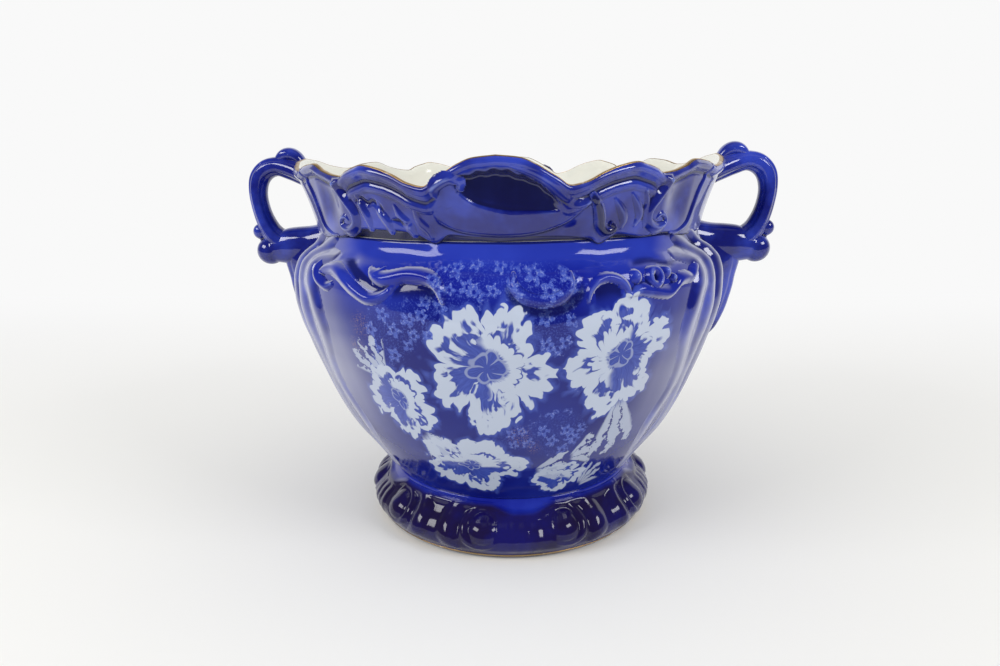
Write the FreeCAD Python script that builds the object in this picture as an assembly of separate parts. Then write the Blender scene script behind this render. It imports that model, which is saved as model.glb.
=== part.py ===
import FreeCAD, Part
import math
import os

os.makedirs("parts", exist_ok=True)

# Driving dimensions of the pot, in millimetres
foot_radius = 80.0
foot_swell = 4.6
foot_swell_height = 10.5
foot_height = 30.0
foot_wall = 6.5
waist_radius = 72.0
belly_swell = 47.4
belly_height = 107.0
shoulder_inset = 13.4
shoulder_height = 34.0
bowl_wall = 4.6
bowl_floor = 6.0
lip_flare = 11.0
collar_height = 37.0
scallop_depth = 12.5
collar_wall = 4.6
collar_ledge = 2.2
lip_roll = 1.5

# Handles: how far past the lip they reach, their strap, roll and leaf
handle_out = 35.5
strap_thickness = 10.0
strap_width = 13.0
arm_below_neck = 14.8
arm_radius = 10.4
knop_radius = 8.2
knop_length = 15.0
bead_radius = 3.5
bead_turn = 62.0
crest_curl_radius = 3.6
crest_curl_length = 12.0
leaf_length = 52.0
leaf_width = 17.0
leaf_depth = 12.6

# Applied mouldings
rib_width = 10.5
rib_depth = 3.4
scroll_width = 5.0
scroll_depth = 2.6
shell_width = 9.0
shell_depth = 3.6
boss_radius = 8.2
boss_depth = 4.4
boss_ring_radius = 10.9
boss_ring_width = 3.0
boss_ring_depth = 2.0
flute_width = 3.4
flute_depth = 1.6
gilding_width = 1.6
gilding_depth = 0.4

# Radii and heights that follow from those
bulb_radius = waist_radius + belly_swell
bulb_height = foot_height + belly_height
neck_radius = bulb_radius - shoulder_inset
neck_height = bulb_height + shoulder_height
lip_radius = neck_radius + lip_flare
lip_height = neck_height + collar_height

# Counts and turns of the foot's pattern
boss_pairs = 5
foot_pattern_turn = 7.3
boss_turn = 18.8
flute_turns = [-4.6, 0.0, 4.6]
ring_gap_turn = 62.0

# Fineness of the lofted forms
lip_points = 120
strap_corners = 8
steps_per_stretch = 3

# How the outlines run between the driving sizes: height share, then radius share
belly_shares = [(0.0, 0.0), (0.17, 0.245), (0.32, 0.47), (0.47, 0.636),
                (0.62, 0.768), (0.77, 0.889), (0.9, 0.972), (1.0, 1.0)]
shoulder_shares = [(0.24, 0.015), (0.45, 0.12), (0.62, 0.34), (0.8, 0.75), (1.0, 1.0)]
toe_shares = [(0.0, 0.0), (0.35, 0.6), (1.0, 1.0)]
waist_shares = [(0.25, 0.2), (0.5, 0.58), (0.75, 0.88), (1.0, 1.0)]

# The scalloped lip between the front and a handle: degrees, dip share, flare share
lip_shares = [(0.0, 0.0, 1.25), (4.0, 0.09, 1.25), (8.0, 0.3, 1.25), (12.0, 0.72, 1.3),
              (15.2, 1.0, 1.3), (19.0, 0.86, 1.25), (24.0, 0.5, 1.15), (31.0, 0.27, 1.05),
              (37.0, 0.42, 0.9), (41.5, 0.68, 0.74), (46.0, 0.46, 0.8), (54.0, 0.2, 0.8),
              (60.0, 0.3, 0.9), (66.0, 0.45, 1.0), (74.0, 0.3, 1.1), (82.0, 0.1, 1.15),
              (90.0, 0.0, 1.2)]

# The collar's section up the outside, at the crest of the lip and down the inside:
# height share, flare share, ledge share, roll share, wall share
outside_shares = [(0.0, 0.0, 0.0, 0.0, 0.0), (0.05, 0.02, 0.9, 0.0, 0.0),
                  (0.16, 0.1, 1.0, 0.0, 0.0), (0.4, 0.33, 0.7, 0.0, 0.0),
                  (0.66, 0.66, 0.2, 0.0, 0.0), (0.84, 0.88, 0.0, 0.0, 0.0),
                  (0.94, 1.0, 0.0, 1.0, 0.0)]
crest_shares = (1.0, 1.02, 0.0, 0.0, 0.45)
inside_shares = [(0.94, 0.96, 0.0, 0.0, 1.0), (0.66, 0.66, 0.0, 0.0, 1.0),
                 (0.33, 0.3, 0.0, 0.0, 1.0), (0.0, 0.0, 0.0, 0.0, 1.0)]

# The ring handle from rim to roll: share out from the lip, share up to its top, size share
loop_shares = [(0.23, 0.965, 1.2), (0.55, 1.0, 1.1), (0.79, 0.965, 1.14), (0.945, 0.85, 1.12),
               (1.0, 0.69, 1.0), (0.96, 0.51, 0.98), (0.86, 0.33, 1.06), (0.7, 0.16, 1.22)]
crest_curl_out_share = 0.34

# Mouldings on the walls: degrees from the front, share up the wall, size share
rim_scroll_shares = [(41.3, 0.72, 0.5), (42.6, 0.64, 0.8), (40.4, 0.48, 1.0), (38.0, 0.33, 1.0),
                     (38.4, 0.18, 0.9), (41.6, 0.11, 0.8), (44.5, 0.17, 0.65), (43.8, 0.26, 0.5),
                     (41.6, 0.25, 0.35)]
shell_shares = [(-10.4, 0.72, 0.5), (-11.0, 0.58, 0.7), (-8.6, 0.4, 0.9), (-3.5, 0.27, 1.2),
                (3.0, 0.23, 1.3), (9.0, 0.25, 1.15), (14.0, 0.31, 0.9), (17.5, 0.42, 0.6),
                (18.5, 0.52, 0.35)]
shoulder_scroll_shares = [(46.6, 0.855, 0.35), (44.4, 0.843, 0.5), (42.6, 0.862, 0.65),
                          (40.8, 0.888, 0.85), (37.0, 0.884, 1.0), (33.6, 0.863, 1.0),
                          (30.0, 0.868, 1.0), (26.0, 0.882, 1.0), (20.0, 0.892, 0.9),
                          (15.2, 0.886, 0.8), (12.3, 0.862, 0.6), (11.8, 0.83, 0.35)]
panel_rib_shares = [(49.0, 0.972, 0.3), (53.6, 0.94, 0.55), (56.2, 0.9, 0.8), (56.2, 0.86, 0.95),
                    (54.6, 0.787, 1.0), (53.6, 0.674, 1.0), (53.0, 0.582, 1.0), (53.8, 0.461, 1.0),
                    (55.6, 0.355, 0.9), (57.0, 0.248, 0.8), (58.0, 0.1, 0.6)]
handle_leaf_shares = [(90.0, 0.0, 0.15), (90.0, 0.2, 0.68), (90.0, 0.55, 0.88), (90.0, 1.0, 1.0)]
crescent_shares = [(30.2, 0.84, 0.4), (32.2, 0.7, 0.9), (33.0, 0.5, 1.0), (32.2, 0.32, 0.8),
                   (30.2, 0.2, 0.4)]
flute_shares = [(0.0, 0.88, 0.5), (0.0, 0.55, 1.0), (0.0, 0.2, 0.9)]
boss_up_share = 0.54
rim_gilding_share = 0.7
foot_gilding_share = 0.22


def spot(radius, azimuth, height):
    """A point at a radius, degrees round from the front, and height."""
    turn = math.radians(azimuth)
    return FreeCAD.Vector(radius * math.sin(turn), -radius * math.cos(turn), height)


def girth(point):
    """Distance of a point from the pot's axis."""
    return math.hypot(point.x, point.y)


def flat(radius, height):
    """A point of an outline in the plane of the handles."""
    return FreeCAD.Vector(radius, 0, height)


def smooth(points):
    """An open smooth curve through points."""
    curve = Part.BSplineCurve()
    curve.interpolate(points)
    return curve


def ring(points):
    """A closed smooth wire through points, evenly parametrised."""
    curve = Part.BSplineCurve()
    steps = [index / len(points) for index in range(len(points) + 1)]
    curve.interpolate(Points=points, Parameters=steps, PeriodicFlag=True)
    return Part.Wire(curve.toShape())


def turned(stretches):
    """A solid turned about the axis from smooth stretches joined by straight lines."""
    edges = []
    for stretch, following in zip(stretches, stretches[1:] + stretches[:1]):
        if len(stretch) > 1:
            edges.append(smooth(stretch).toShape())
        edges.append(Part.LineSegment(stretch[-1], following[0]).toShape())
    face = Part.Face(Part.Wire(edges))
    return face.revolve(FreeCAD.Vector(0, 0, 0), FreeCAD.Vector(0, 0, 1), 360)


def eased(table, at, column):
    """Read one column of a table of shares, easing from row to row."""
    for low, high in zip(table, table[1:]):
        if at <= high[0]:
            part = max(0, (at - low[0]) / (high[0] - low[0]))
            soft = part * part * (3 - 2 * part)
            return low[column] + (high[column] - low[column]) * soft
    return table[-1][column]


def radius_on(line, height):
    """Radius at a height on an outline given as many close points."""
    for low, high in zip(line, line[1:]):
        if height <= high.z:
            part = max(0, (height - low.z) / (high.z - low.z))
            return low.x + (high.x - low.x) * part
    return line[-1].x


def inset(points, depth, lowest):
    """The inner points of an outline moved square to it into the wall, above a height."""
    curve = smooth(points)
    moved = []
    for point in points[1:-1]:
        along = curve.tangent(curve.parameter(point))[0]
        inward = point + FreeCAD.Vector(-along.z, 0, along.x) * depth
        if inward.z > lowest + depth:
            moved.append(inward)
    return moved


def belly_outline():
    """Outer outline of the bowl from waist to neck."""
    tall = bulb_height - foot_height
    wide = bulb_radius - waist_radius
    low = [flat(waist_radius + wide * out, foot_height + tall * up) for up, out in belly_shares]
    rise = neck_height - bulb_height
    fall = bulb_radius - neck_radius
    return low + [flat(bulb_radius - fall * drop, bulb_height + rise * up)
                  for up, drop in shoulder_shares]


def foot_outline():
    """Outer outline of the foot ring from the table to the waist."""
    low = [flat(foot_radius + foot_swell * out, foot_swell_height * up) for up, out in toe_shares]
    rise = foot_height - foot_swell_height
    swell = foot_radius + foot_swell
    fall = swell - waist_radius
    return low + [flat(swell - fall * drop, foot_swell_height + rise * up)
                  for up, drop in waist_shares]


belly_line = smooth(belly_outline()).discretize(300)
foot_line = smooth(foot_outline()).discretize(200)


def collar_spot(row, azimuth):
    """A point of the collar for one row of its section table."""
    up, out, ledge, roll, wall = row
    folded = abs((azimuth + 180) % 360 - 180)
    quarter = min(folded, 180 - folded)
    top = lip_height - scallop_depth * eased(lip_shares, quarter, 1)
    flare = (lip_radius - neck_radius) * eased(lip_shares, quarter, 2)
    radius = neck_radius + flare * out + collar_ledge * ledge + lip_roll * roll
    return spot(radius - collar_wall * wall, azimuth, neck_height + (top - neck_height) * up)


def on_bowl(azimuth, height):
    """A point on the outside of the bowl."""
    return spot(radius_on(belly_line, height), azimuth, height)


def on_foot(azimuth, height):
    """A point on the outside of the foot."""
    return spot(radius_on(foot_line, height), azimuth, height)


def on_collar(azimuth, height):
    """A point on the outside of the collar."""
    levels = [collar_spot(row, azimuth) for row in outside_shares]
    line = [flat(girth(point), point.z) for point in levels]
    return spot(radius_on(line, height), azimuth, height)


def all_round(place):
    """A closed wire through a place that is worked out at each azimuth."""
    return ring([place(360 * index / lip_points) for index in range(lip_points)])


def make_bowl():
    """The thin swelling body with the pot's floor."""
    outer = belly_outline()
    floor_top = foot_height + bowl_floor
    inner = [flat(radius_on(belly_line, floor_top) - bowl_wall, floor_top)]
    inner += inset(outer, bowl_wall, floor_top)
    inner.append(flat(neck_radius - bowl_wall, neck_height))
    inner.reverse()
    return turned([[flat(0, foot_height)], outer, inner, [flat(0, floor_top)]])


def make_foot():
    """The spreading hollow foot ring."""
    outer = foot_outline()
    inner = [flat(foot_radius - foot_wall, 0)] + inset(outer, foot_wall, 0)
    inner.append(flat(waist_radius - foot_wall, foot_height))
    inner.reverse()
    return turned([outer, inner])


def make_collar():
    """The flared and scalloped collar with its rolled lip."""
    rings = []
    for row in outside_shares + [crest_shares] + inside_shares:
        rings.append(all_round(lambda azimuth: collar_spot(row, azimuth)))
    return Part.makeLoft(rings, True, True, True)


def make_rim_gilding():
    """The gold line along the crest of the lip."""
    def beside(row, azimuth):
        near = collar_spot(crest_shares, azimuth)
        far = collar_spot(row, azimuth)
        return far + (near - far) * rim_gilding_share

    lifted = FreeCAD.Vector(0, 0, gilding_depth)
    rings = [all_round(lambda azimuth: beside(outside_shares[-1], azimuth)),
             all_round(lambda azimuth: collar_spot(crest_shares, azimuth) + lifted),
             all_round(lambda azimuth: beside(inside_shares[0], azimuth)),
             all_round(lambda azimuth: collar_spot(crest_shares, azimuth))]
    return Part.makeLoft(rings, True, True, True)


def make_foot_gilding():
    """The gold line round the lower edge of the foot."""
    low = foot_swell_height * foot_gilding_share
    high = low + gilding_width
    inner = [flat(radius_on(foot_line, height), height) for height in (high, (low + high) / 2, low)]
    outer = flat(inner[1].x + gilding_depth, inner[1].z)
    return turned([[inner[2]], [outer], [inner[0]], [inner[1]]])


def ridge_section(wall, azimuth, height, run, rise, width, depth):
    """One section of a ridge that heads along a wall, its underside on the wall."""
    seat = wall(azimuth, height)
    around = girth(seat)
    length = math.hypot(run, rise)
    round_step = math.degrees(rise / length * width / 2 / around)
    up_step = run / length * width / 2
    left = wall(azimuth - round_step, height + up_step)
    right = wall(azimuth + round_step, height - up_step)
    ahead = wall(azimuth + math.degrees(run / length * width / around),
                 height + rise / length * width)
    middle = (left + right) / 2
    normal = (right - left).cross(ahead - seat).normalize()
    if normal.dot(FreeCAD.Vector(seat.x, seat.y, 0)) < 0:
        normal = -normal
    under = middle + normal * (seat - middle).dot(normal)
    crown = under + normal * depth
    edges = [Part.Arc(left, crown, right), Part.LineSegment(right, under),
             Part.LineSegment(under, left)]
    return Part.Wire([edge.toShape() for edge in edges])


def moulding(wall, table, bottom, top, width, depth):
    """A tapering ridge laid along a wall from a table of places."""
    around = girth(wall(0, (bottom + top) / 2))
    marks = [FreeCAD.Vector(math.radians(azimuth) * around, bottom + (top - bottom) * up,
                            width * size) for azimuth, up, size in table]
    route = smooth(marks)
    count = steps_per_stretch * (len(table) - 1)
    sections = []
    for step in range(count + 1):
        at = route.FirstParameter + (route.LastParameter - route.FirstParameter) * step / count
        here = route.value(at)
        along = route.tangent(at)[0]
        azimuth = math.degrees(here.x / around)
        run = along.x * girth(wall(azimuth, here.y)) / around
        size = here.z / width
        sections.append(ridge_section(wall, azimuth, here.y, run, along.y, here.z, depth * size))
    return Part.makeLoft(sections, True, True)


def on_bowl_moulding(table, width, depth):
    """A moulding on the bowl, its table running from the waist to the neck."""
    return moulding(on_bowl, table, foot_height, neck_height, width, depth)


def on_collar_moulding(table, width, depth):
    """A moulding on the collar, its table running from the neck to the lip."""
    return moulding(on_collar, table, neck_height, lip_height, width, depth)


def on_foot_moulding(table, width, depth):
    """A moulding on the foot, its table running from the table top to the waist."""
    return moulding(on_foot, table, 0, foot_height, width, depth)


def strap_section(centre, along, thickness, width):
    """A rounded section of the handle strap, square to the way it runs."""
    side = FreeCAD.Vector(0, 1, 0)
    out = along.cross(side)
    points = []
    for corner in range(strap_corners):
        turn = 2 * math.pi * corner / strap_corners
        points.append(centre + out * (thickness / 2 * math.cos(turn))
                      + side * (width / 2 * math.sin(turn)))
    return ring(points)


def outside(shape, neighbours):
    """What is left of a piece outside its neighbours, as one solid."""
    for neighbour in neighbours:
        shape = shape.cut(neighbour)
    return max(shape.Solids, key=lambda solid: girth(solid.CenterOfMass))


def make_loop(collar, knop):
    """The ring handle on the right, from the rim round to the roll below it."""
    reach = lip_radius + handle_out - strap_thickness / 2
    base = neck_height - arm_below_neck
    rise = lip_height - strap_thickness / 2 - base
    start = lip_height - strap_thickness
    inside = girth(on_collar(90, start)) - collar_wall * 2
    marks = [FreeCAD.Vector(inside, strap_thickness * 1.25, start)]
    for out, up, size in loop_shares:
        marks.append(FreeCAD.Vector(lip_radius + (reach - lip_radius) * out,
                                    strap_thickness * size, base + rise * up))
    route = smooth(marks)
    count = steps_per_stretch * (len(marks) - 1)
    sections = []
    for step in range(count + 1):
        at = route.FirstParameter + (route.LastParameter - route.FirstParameter) * step / count
        here = route.value(at)
        along = route.tangent(at)[0]
        along.y = 0
        along.normalize()
        thickness = here.y
        broad = strap_width * (1 + thickness / strap_thickness) / 2
        sections.append(strap_section(flat(here.x, here.z), along, thickness, broad))
    loop = Part.makeLoft(sections, True, True)
    return outside(loop, [collar, knop])


def roll(centre, radius, length):
    """A short roll with rounded ends, lying from front to back."""
    barrel = Part.makeCylinder(radius, length, centre - FreeCAD.Vector(0, length / 2, 0),
                               FreeCAD.Vector(0, 1, 0))
    return barrel.makeFillet(radius * 0.6, [barrel.Edges[0], barrel.Edges[2]])


def make_knop(walls):
    """The roll and bead under the right ring, with the arm into the neck."""
    level = neck_height - arm_below_neck
    far = lip_radius + handle_out
    ball = flat(far - knop_radius, level - knop_radius / 8)
    wall_radius = radius_on(belly_line, level)
    marks = [(neck_radius - bowl_wall * 2, level, arm_radius),
             ((wall_radius * 2 + ball.x) / 3, level, arm_radius),
             (ball.x - knop_radius / 3, level, knop_radius)]
    sections = []
    for out, up, radius in marks:
        sections.append(strap_section(flat(out, up), FreeCAD.Vector(1, 0, 0), radius * 2, radius * 2))
    arm = Part.makeLoft(sections, True, True)
    turn = math.radians(bead_turn)
    apart = knop_radius + bead_radius * 0.8
    bead = ball + flat(apart * math.cos(turn), apart * math.sin(turn))
    whole = arm.fuse([roll(ball, knop_radius, knop_length), Part.makeSphere(bead_radius, bead)])
    return outside(whole, walls)


def make_crest_curl(loop):
    """The small curl that crests the right ring."""
    out = lip_radius + handle_out * crest_curl_out_share
    centre = flat(out, lip_height + crest_curl_radius * 0.6)
    return outside(roll(centre, crest_curl_radius, crest_curl_length), [loop])


def make_handle_leaf(neighbours):
    """The leaf that tails down the body below the right handle."""
    top = neck_height - arm_below_neck - arm_radius / 2
    leaf = moulding(on_bowl, handle_leaf_shares, top - leaf_length, top, leaf_width, leaf_depth)
    return outside(leaf, neighbours)


def make_boss(side):
    """One raised boss of the foot with its ring scroll and crescent."""
    level = foot_height * boss_up_share
    seat = on_foot(boss_turn, level)
    ball = Part.makeSphere(boss_radius)
    squash = FreeCAD.Matrix()
    squash.scale(1, boss_depth / boss_radius, 1)
    dome = ball.transformGeometry(squash)
    dome.rotate(FreeCAD.Vector(0, 0, 0), FreeCAD.Vector(0, 0, 1), boss_turn)
    dome.translate(seat)
    around = girth(seat)
    table = []
    for step in range(9):
        turn = math.radians(ring_gap_turn + (360 - 2 * ring_gap_turn) * step / 8)
        azimuth = boss_turn + math.degrees(boss_ring_radius * math.cos(turn) / around)
        height = level + boss_ring_radius * math.sin(turn) * 0.92
        table.append((azimuth, height / foot_height, 1 - abs(step - 4) / 8))
    scroll = on_foot_moulding(table, boss_ring_width, boss_ring_depth)
    crescent = on_foot_moulding(crescent_shares, boss_ring_width, boss_ring_depth)
    pieces = [outside(dome, [foot]), scroll, crescent]
    if side < 0:
        pieces = [mirrored(piece, FreeCAD.Vector(1, 0, 0)) for piece in pieces]
    return pieces


def make_foot_scrolls():
    """The bosses, ring scrolls, crescents and flutes round the foot."""
    unit = make_boss(1) + make_boss(-1)
    for turn in flute_turns:
        table = [(turn, up, size) for azimuth, up, size in flute_shares]
        unit.append(on_foot_moulding(table, flute_width, flute_depth))
    placed = []
    for pair in range(boss_pairs):
        for piece in unit:
            copy = piece.copy()
            copy.rotate(FreeCAD.Vector(0, 0, 0), FreeCAD.Vector(0, 0, 1),
                        foot_pattern_turn + 360 * pair / boss_pairs)
            placed.append(copy)
    return Part.makeCompound(placed)


def mirrored(shape, across):
    """The same piece on the other side of the pot."""
    return shape.mirror(FreeCAD.Vector(0, 0, 0), across)


def save(name, shape):
    """Write one piece, saying how it came out."""
    print(name, shape.ShapeType, shape.isValid(), len(shape.Solids), round(shape.Volume, 1))
    shape.exportStep("parts/" + name + ".step")


def save_sides(name, shape):
    """Write the right-hand piece and its left-hand mirror image."""
    save(name + "_right", shape)
    save(name + "_left", mirrored(shape, FreeCAD.Vector(1, 0, 0)))


def save_quarters(name, shape):
    """Write a piece in all four quarters of the pot."""
    save_sides(name + "_front", shape)
    save_sides(name + "_back", mirrored(shape, FreeCAD.Vector(0, 1, 0)))


# The walls
bowl = make_bowl()
foot = make_foot()
collar = make_collar()
save("bowl", bowl)
save("foot", foot)
save("rim_collar", collar)

# The handles
knop = make_knop([bowl, collar])
loop = make_loop(collar, knop)
save_sides("handle_loop", loop)
save_sides("handle_knop", knop)
save_sides("handle_crest_curl", make_crest_curl(loop))
save_sides("handle_leaf", make_handle_leaf([knop, bowl]))

# The applied mouldings
save_quarters("panel_rib", on_bowl_moulding(panel_rib_shares, rib_width, rib_depth))
save_quarters("shoulder_scroll", on_bowl_moulding(shoulder_scroll_shares, scroll_width, scroll_depth))
save_quarters("rim_scroll", on_collar_moulding(rim_scroll_shares, scroll_width, scroll_depth))
shell = on_collar_moulding(shell_shares, shell_width, shell_depth)
save("rim_shell_front", shell)
shell_back = shell.copy()
shell_back.rotate(FreeCAD.Vector(0, 0, 0), FreeCAD.Vector(0, 0, 1), 180)
save("rim_shell_back", shell_back)
save("foot_scrolls", make_foot_scrolls())

# The gilding
save("rim_gilding", make_rim_gilding())
save("foot_gilding", make_foot_gilding())
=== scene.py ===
import math

import bpy
import bmesh
import numpy as np
from mathutils import Matrix, Vector


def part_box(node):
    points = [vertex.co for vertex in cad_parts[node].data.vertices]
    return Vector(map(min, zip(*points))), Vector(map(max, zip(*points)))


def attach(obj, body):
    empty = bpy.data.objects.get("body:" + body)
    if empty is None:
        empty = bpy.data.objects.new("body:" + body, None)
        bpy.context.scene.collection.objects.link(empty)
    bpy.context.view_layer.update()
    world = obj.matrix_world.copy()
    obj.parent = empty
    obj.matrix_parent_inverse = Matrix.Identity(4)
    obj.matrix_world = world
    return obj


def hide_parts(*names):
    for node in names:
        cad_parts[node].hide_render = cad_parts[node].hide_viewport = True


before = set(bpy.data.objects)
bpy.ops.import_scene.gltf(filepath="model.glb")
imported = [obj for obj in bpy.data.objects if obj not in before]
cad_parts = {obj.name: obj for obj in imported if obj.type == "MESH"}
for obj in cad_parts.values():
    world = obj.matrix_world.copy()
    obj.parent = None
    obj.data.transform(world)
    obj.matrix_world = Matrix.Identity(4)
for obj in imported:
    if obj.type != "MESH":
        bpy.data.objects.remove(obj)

bl_info = {
    "name": "Flow Blue Planter",
    "version": (1, 0, 0),
    "blender": (4, 5, 0),
    "location": "View3D > Sidebar > Planter",
    "description": "Builds a two-handled flow blue planter piece by piece on its packed frame",
    "category": "Add Mesh",
}

MM = 0.001


def frame_box(node):
    """Lowest and highest corners of a piece of the frame, in millimetres."""
    low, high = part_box(node)
    return Vector(low) / MM, Vector(high) / MM


# Sizes of the walls, read from the frame
BULB_RADIUS = frame_box("bowl")[1].x
WAIST_HEIGHT = frame_box("bowl")[0].z
NECK_HEIGHT = frame_box("rim_collar")[0].z
LIP_HEIGHT = frame_box("rim_collar")[1].z
FOOT_REACH = frame_box("foot")[1].x

# Sizes that the boxes don't give
WAIST_RADIUS = 72.0
NECK_RADIUS = 106.0
FOOT_RADIUS = 80.0
TOE_HEIGHT = 10.5
BULB_HEIGHT = 137.0
LIP_FLARE = 11.0
FLOOR_RISE = 6.0

# Outlines: share of the height, share of the radius
BELLY_SHARES = [(0.0, 0.0), (0.17, 0.245), (0.32, 0.47), (0.47, 0.636),
                (0.62, 0.768), (0.77, 0.889), (0.9, 0.972), (1.0, 1.0)]
SHOULDER_SHARES = [(0.24, 0.015), (0.45, 0.12), (0.62, 0.34), (0.8, 0.75), (1.0, 1.0)]
TOE_SHARES = [(0.0, 0.0), (0.35, 0.6), (1.0, 1.0)]
WAIST_SHARES = [(0.25, 0.2), (0.5, 0.58), (0.75, 0.88), (1.0, 1.0)]

# The lip: degrees from the front, then millimetres below its highest point
LIP_DIPS = [(0, 0), (4.7, 1.0), (8, 3.7), (10.2, 6.4), (12.5, 9.2), (15.2, 12.5), (18.6, 11.1),
            (22.7, 7.5), (27, 4.8), (31.5, 3.4), (34, 4.4), (37.5, 6.2), (40.5, 8.4), (43.3, 8.0),
            (48.6, 5.8), (54, 2.7), (60, 3.7), (66, 6.2), (75, 4.2), (82, 1.6), (90, 0.2)]
# The lip: degrees from the front, then share of the flare
LIP_FLARES = [(0, 1.25), (12, 1.3), (19, 1.25), (24, 1.15), (31, 1.05), (37, 0.9), (41.5, 0.76),
              (46, 0.8), (54, 0.82), (60, 0.9), (66, 1.0), (74, 1.1), (82, 1.15), (90, 1.2)]
# The collar's lower edge: degrees from the front, then millimetres above the neck
SKIRT_EDGE_FRONT_LEFT = [(0, 0.9), (6.7, 2.2), (11.5, 3.1), (15.1, -0.7), (19.4, 2.7), (24.8, 4.3),
                         (34.6, 4.4), (46.7, -0.4), (58, -2), (90, -2)]
SKIRT_EDGE_FRONT_RIGHT = [(0, 0.9), (12, 2.2), (21.9, 0.6), (24.4, -1.8), (29.3, 1.7), (37.5, -0.2),
                          (45.1, 0.6), (55.8, -2), (90, -2)]
# The collar outside: share of its height, share of its flare, millimetres proud
COLLAR_SECTION = [(0.0, 0.0, 2.2), (0.16, 0.08, 2.3), (0.4, 0.33, 1.5), (0.66, 0.66, 0.4),
                  (0.84, 0.88, 0.0), (1.0, 1.02, 0.0)]


class Curve:
    """A smooth reading of a table that never swings past its rows."""

    def __init__(self, rows, column=1):
        self.x = np.array([row[0] for row in rows], float)
        self.y = np.array([row[column] for row in rows], float)
        step = np.diff(self.x)
        rate = np.diff(self.y) / step
        slope = np.zeros(len(self.x))
        before, after = rate[:-1], rate[1:]
        same = before * after > 0
        heavy = 2 * step[1:] + step[:-1]
        light = step[1:] + 2 * step[:-1]
        with np.errstate(divide="ignore", invalid="ignore"):
            mean = (heavy + light) / (heavy / before + light / after)
        slope[1:-1] = np.where(same, mean, 0)
        slope[0], slope[-1] = rate[0], rate[-1]
        self.slope = slope

    def __call__(self, at):
        at = np.clip(at, self.x[0], self.x[-1])
        low = np.clip(np.searchsorted(self.x, at, side="right") - 1, 0, len(self.x) - 2)
        step = self.x[low + 1] - self.x[low]
        t = (at - self.x[low]) / step
        return (self.y[low] * (1 + 2 * t) * (1 - t) ** 2 + self.y[low + 1] * t * t * (3 - 2 * t)
                + self.slope[low] * step * t * (1 - t) ** 2
                + self.slope[low + 1] * step * t * t * (t - 1))


def through(points, per_span=8):
    """A smooth line through a few points, as many close points."""
    points = np.array(points, float)
    ends = np.vstack([2 * points[0] - points[1], points, 2 * points[-1] - points[-2]])
    line = []
    for index in range(len(points) - 1):
        a, b, c, d = ends[index:index + 4]
        for step in range(per_span):
            t = step / per_span
            line.append(0.5 * (2 * b + (c - a) * t + (2 * a - 5 * b + 4 * c - d) * t * t
                               + (3 * b - a - 3 * c + d) * t ** 3))
    line.append(points[-1])
    return np.array(line)


def soft_step(low, high, at):
    """Rises smoothly from 0 at one value to 1 at another."""
    t = np.clip((at - low) / (high - low), 0, 1)
    return t * t * (3 - 2 * t)


def plateau(rise_from, rise_to, fall_from, fall_to, at):
    """Rises smoothly from 0 to 1 and falls back to 0 further on."""
    return soft_step(rise_from, rise_to, at) * (1 - soft_step(fall_from, fall_to, at))


def hump(at, middle, half):
    """A smooth hump of height 1 about a middle."""
    t = np.clip(np.abs(at - middle) / half, 0, 1)
    return (1 - t * t) ** 2


def signed_turn(azimuth):
    """Degrees right of the front, or of the back seen from behind, -90 to 90."""
    turned = (np.asarray(azimuth, float) + 180) % 360 - 180
    return np.where(np.abs(turned) > 90, turned - 180 * np.sign(turned), turned)


def folded(azimuth):
    """Degrees from the nearer of the front and the back, 0 to 90."""
    return np.abs(signed_turn(azimuth))


# Walls

belly_curve = Curve([(WAIST_HEIGHT + (BULB_HEIGHT - WAIST_HEIGHT) * up,
                      WAIST_RADIUS + (BULB_RADIUS - WAIST_RADIUS) * out)
                     for up, out in BELLY_SHARES]
                    + [(BULB_HEIGHT + (NECK_HEIGHT - BULB_HEIGHT) * up,
                        BULB_RADIUS - (BULB_RADIUS - NECK_RADIUS) * drop)
                       for up, drop in SHOULDER_SHARES])
foot_curve = Curve([(TOE_HEIGHT * up, FOOT_RADIUS + (FOOT_REACH - FOOT_RADIUS) * out)
                    for up, out in TOE_SHARES]
                   + [(TOE_HEIGHT + (WAIST_HEIGHT - TOE_HEIGHT) * up,
                       FOOT_REACH - (FOOT_REACH - WAIST_RADIUS) * drop)
                      for up, drop in WAIST_SHARES])
dip_curve = Curve(LIP_DIPS)
flare_curve = Curve(LIP_FLARES)
left_skirt = Curve(SKIRT_EDGE_FRONT_LEFT)
right_skirt = Curve(SKIRT_EDGE_FRONT_RIGHT)
section_out = Curve(COLLAR_SECTION)
section_proud = Curve(COLLAR_SECTION, 2)


def crest_height(azimuth):
    """Height of the lip's crest."""
    return LIP_HEIGHT - dip_curve(folded(azimuth))


def skirt_height(azimuth):
    """Height of the collar's wavy lower edge."""
    turn = signed_turn(azimuth)
    fold = np.abs(turn)
    return NECK_HEIGHT + np.where(turn < 0, left_skirt(fold), right_skirt(fold))


def skirted(azimuth):
    """Share of the skirt's step at an azimuth: none under the front and back shells."""
    turn = signed_turn(azimuth)
    return np.where(turn < 0, soft_step(10, 16, -turn), soft_step(18, 23, turn))


def collar_radius(azimuth, height):
    """The collar's outer radius before its ornament."""
    share = np.clip((height - NECK_HEIGHT) / (crest_height(azimuth) - NECK_HEIGHT), 0, 1)
    flare = LIP_FLARE * flare_curve(folded(azimuth))
    return NECK_RADIUS + flare * section_out(share) + section_proud(share) * skirted(azimuth)


def at_radius(radius, azimuth, height):
    """Points in metres from radii, degrees round from the front, and heights."""
    turn = np.radians(azimuth)
    radius, turn, height = np.broadcast_arrays(radius, turn, height)
    return np.stack([radius * np.sin(turn), -radius * np.cos(turn), height], axis=-1) * MM


SLOPE_REACH = 0.25


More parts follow.
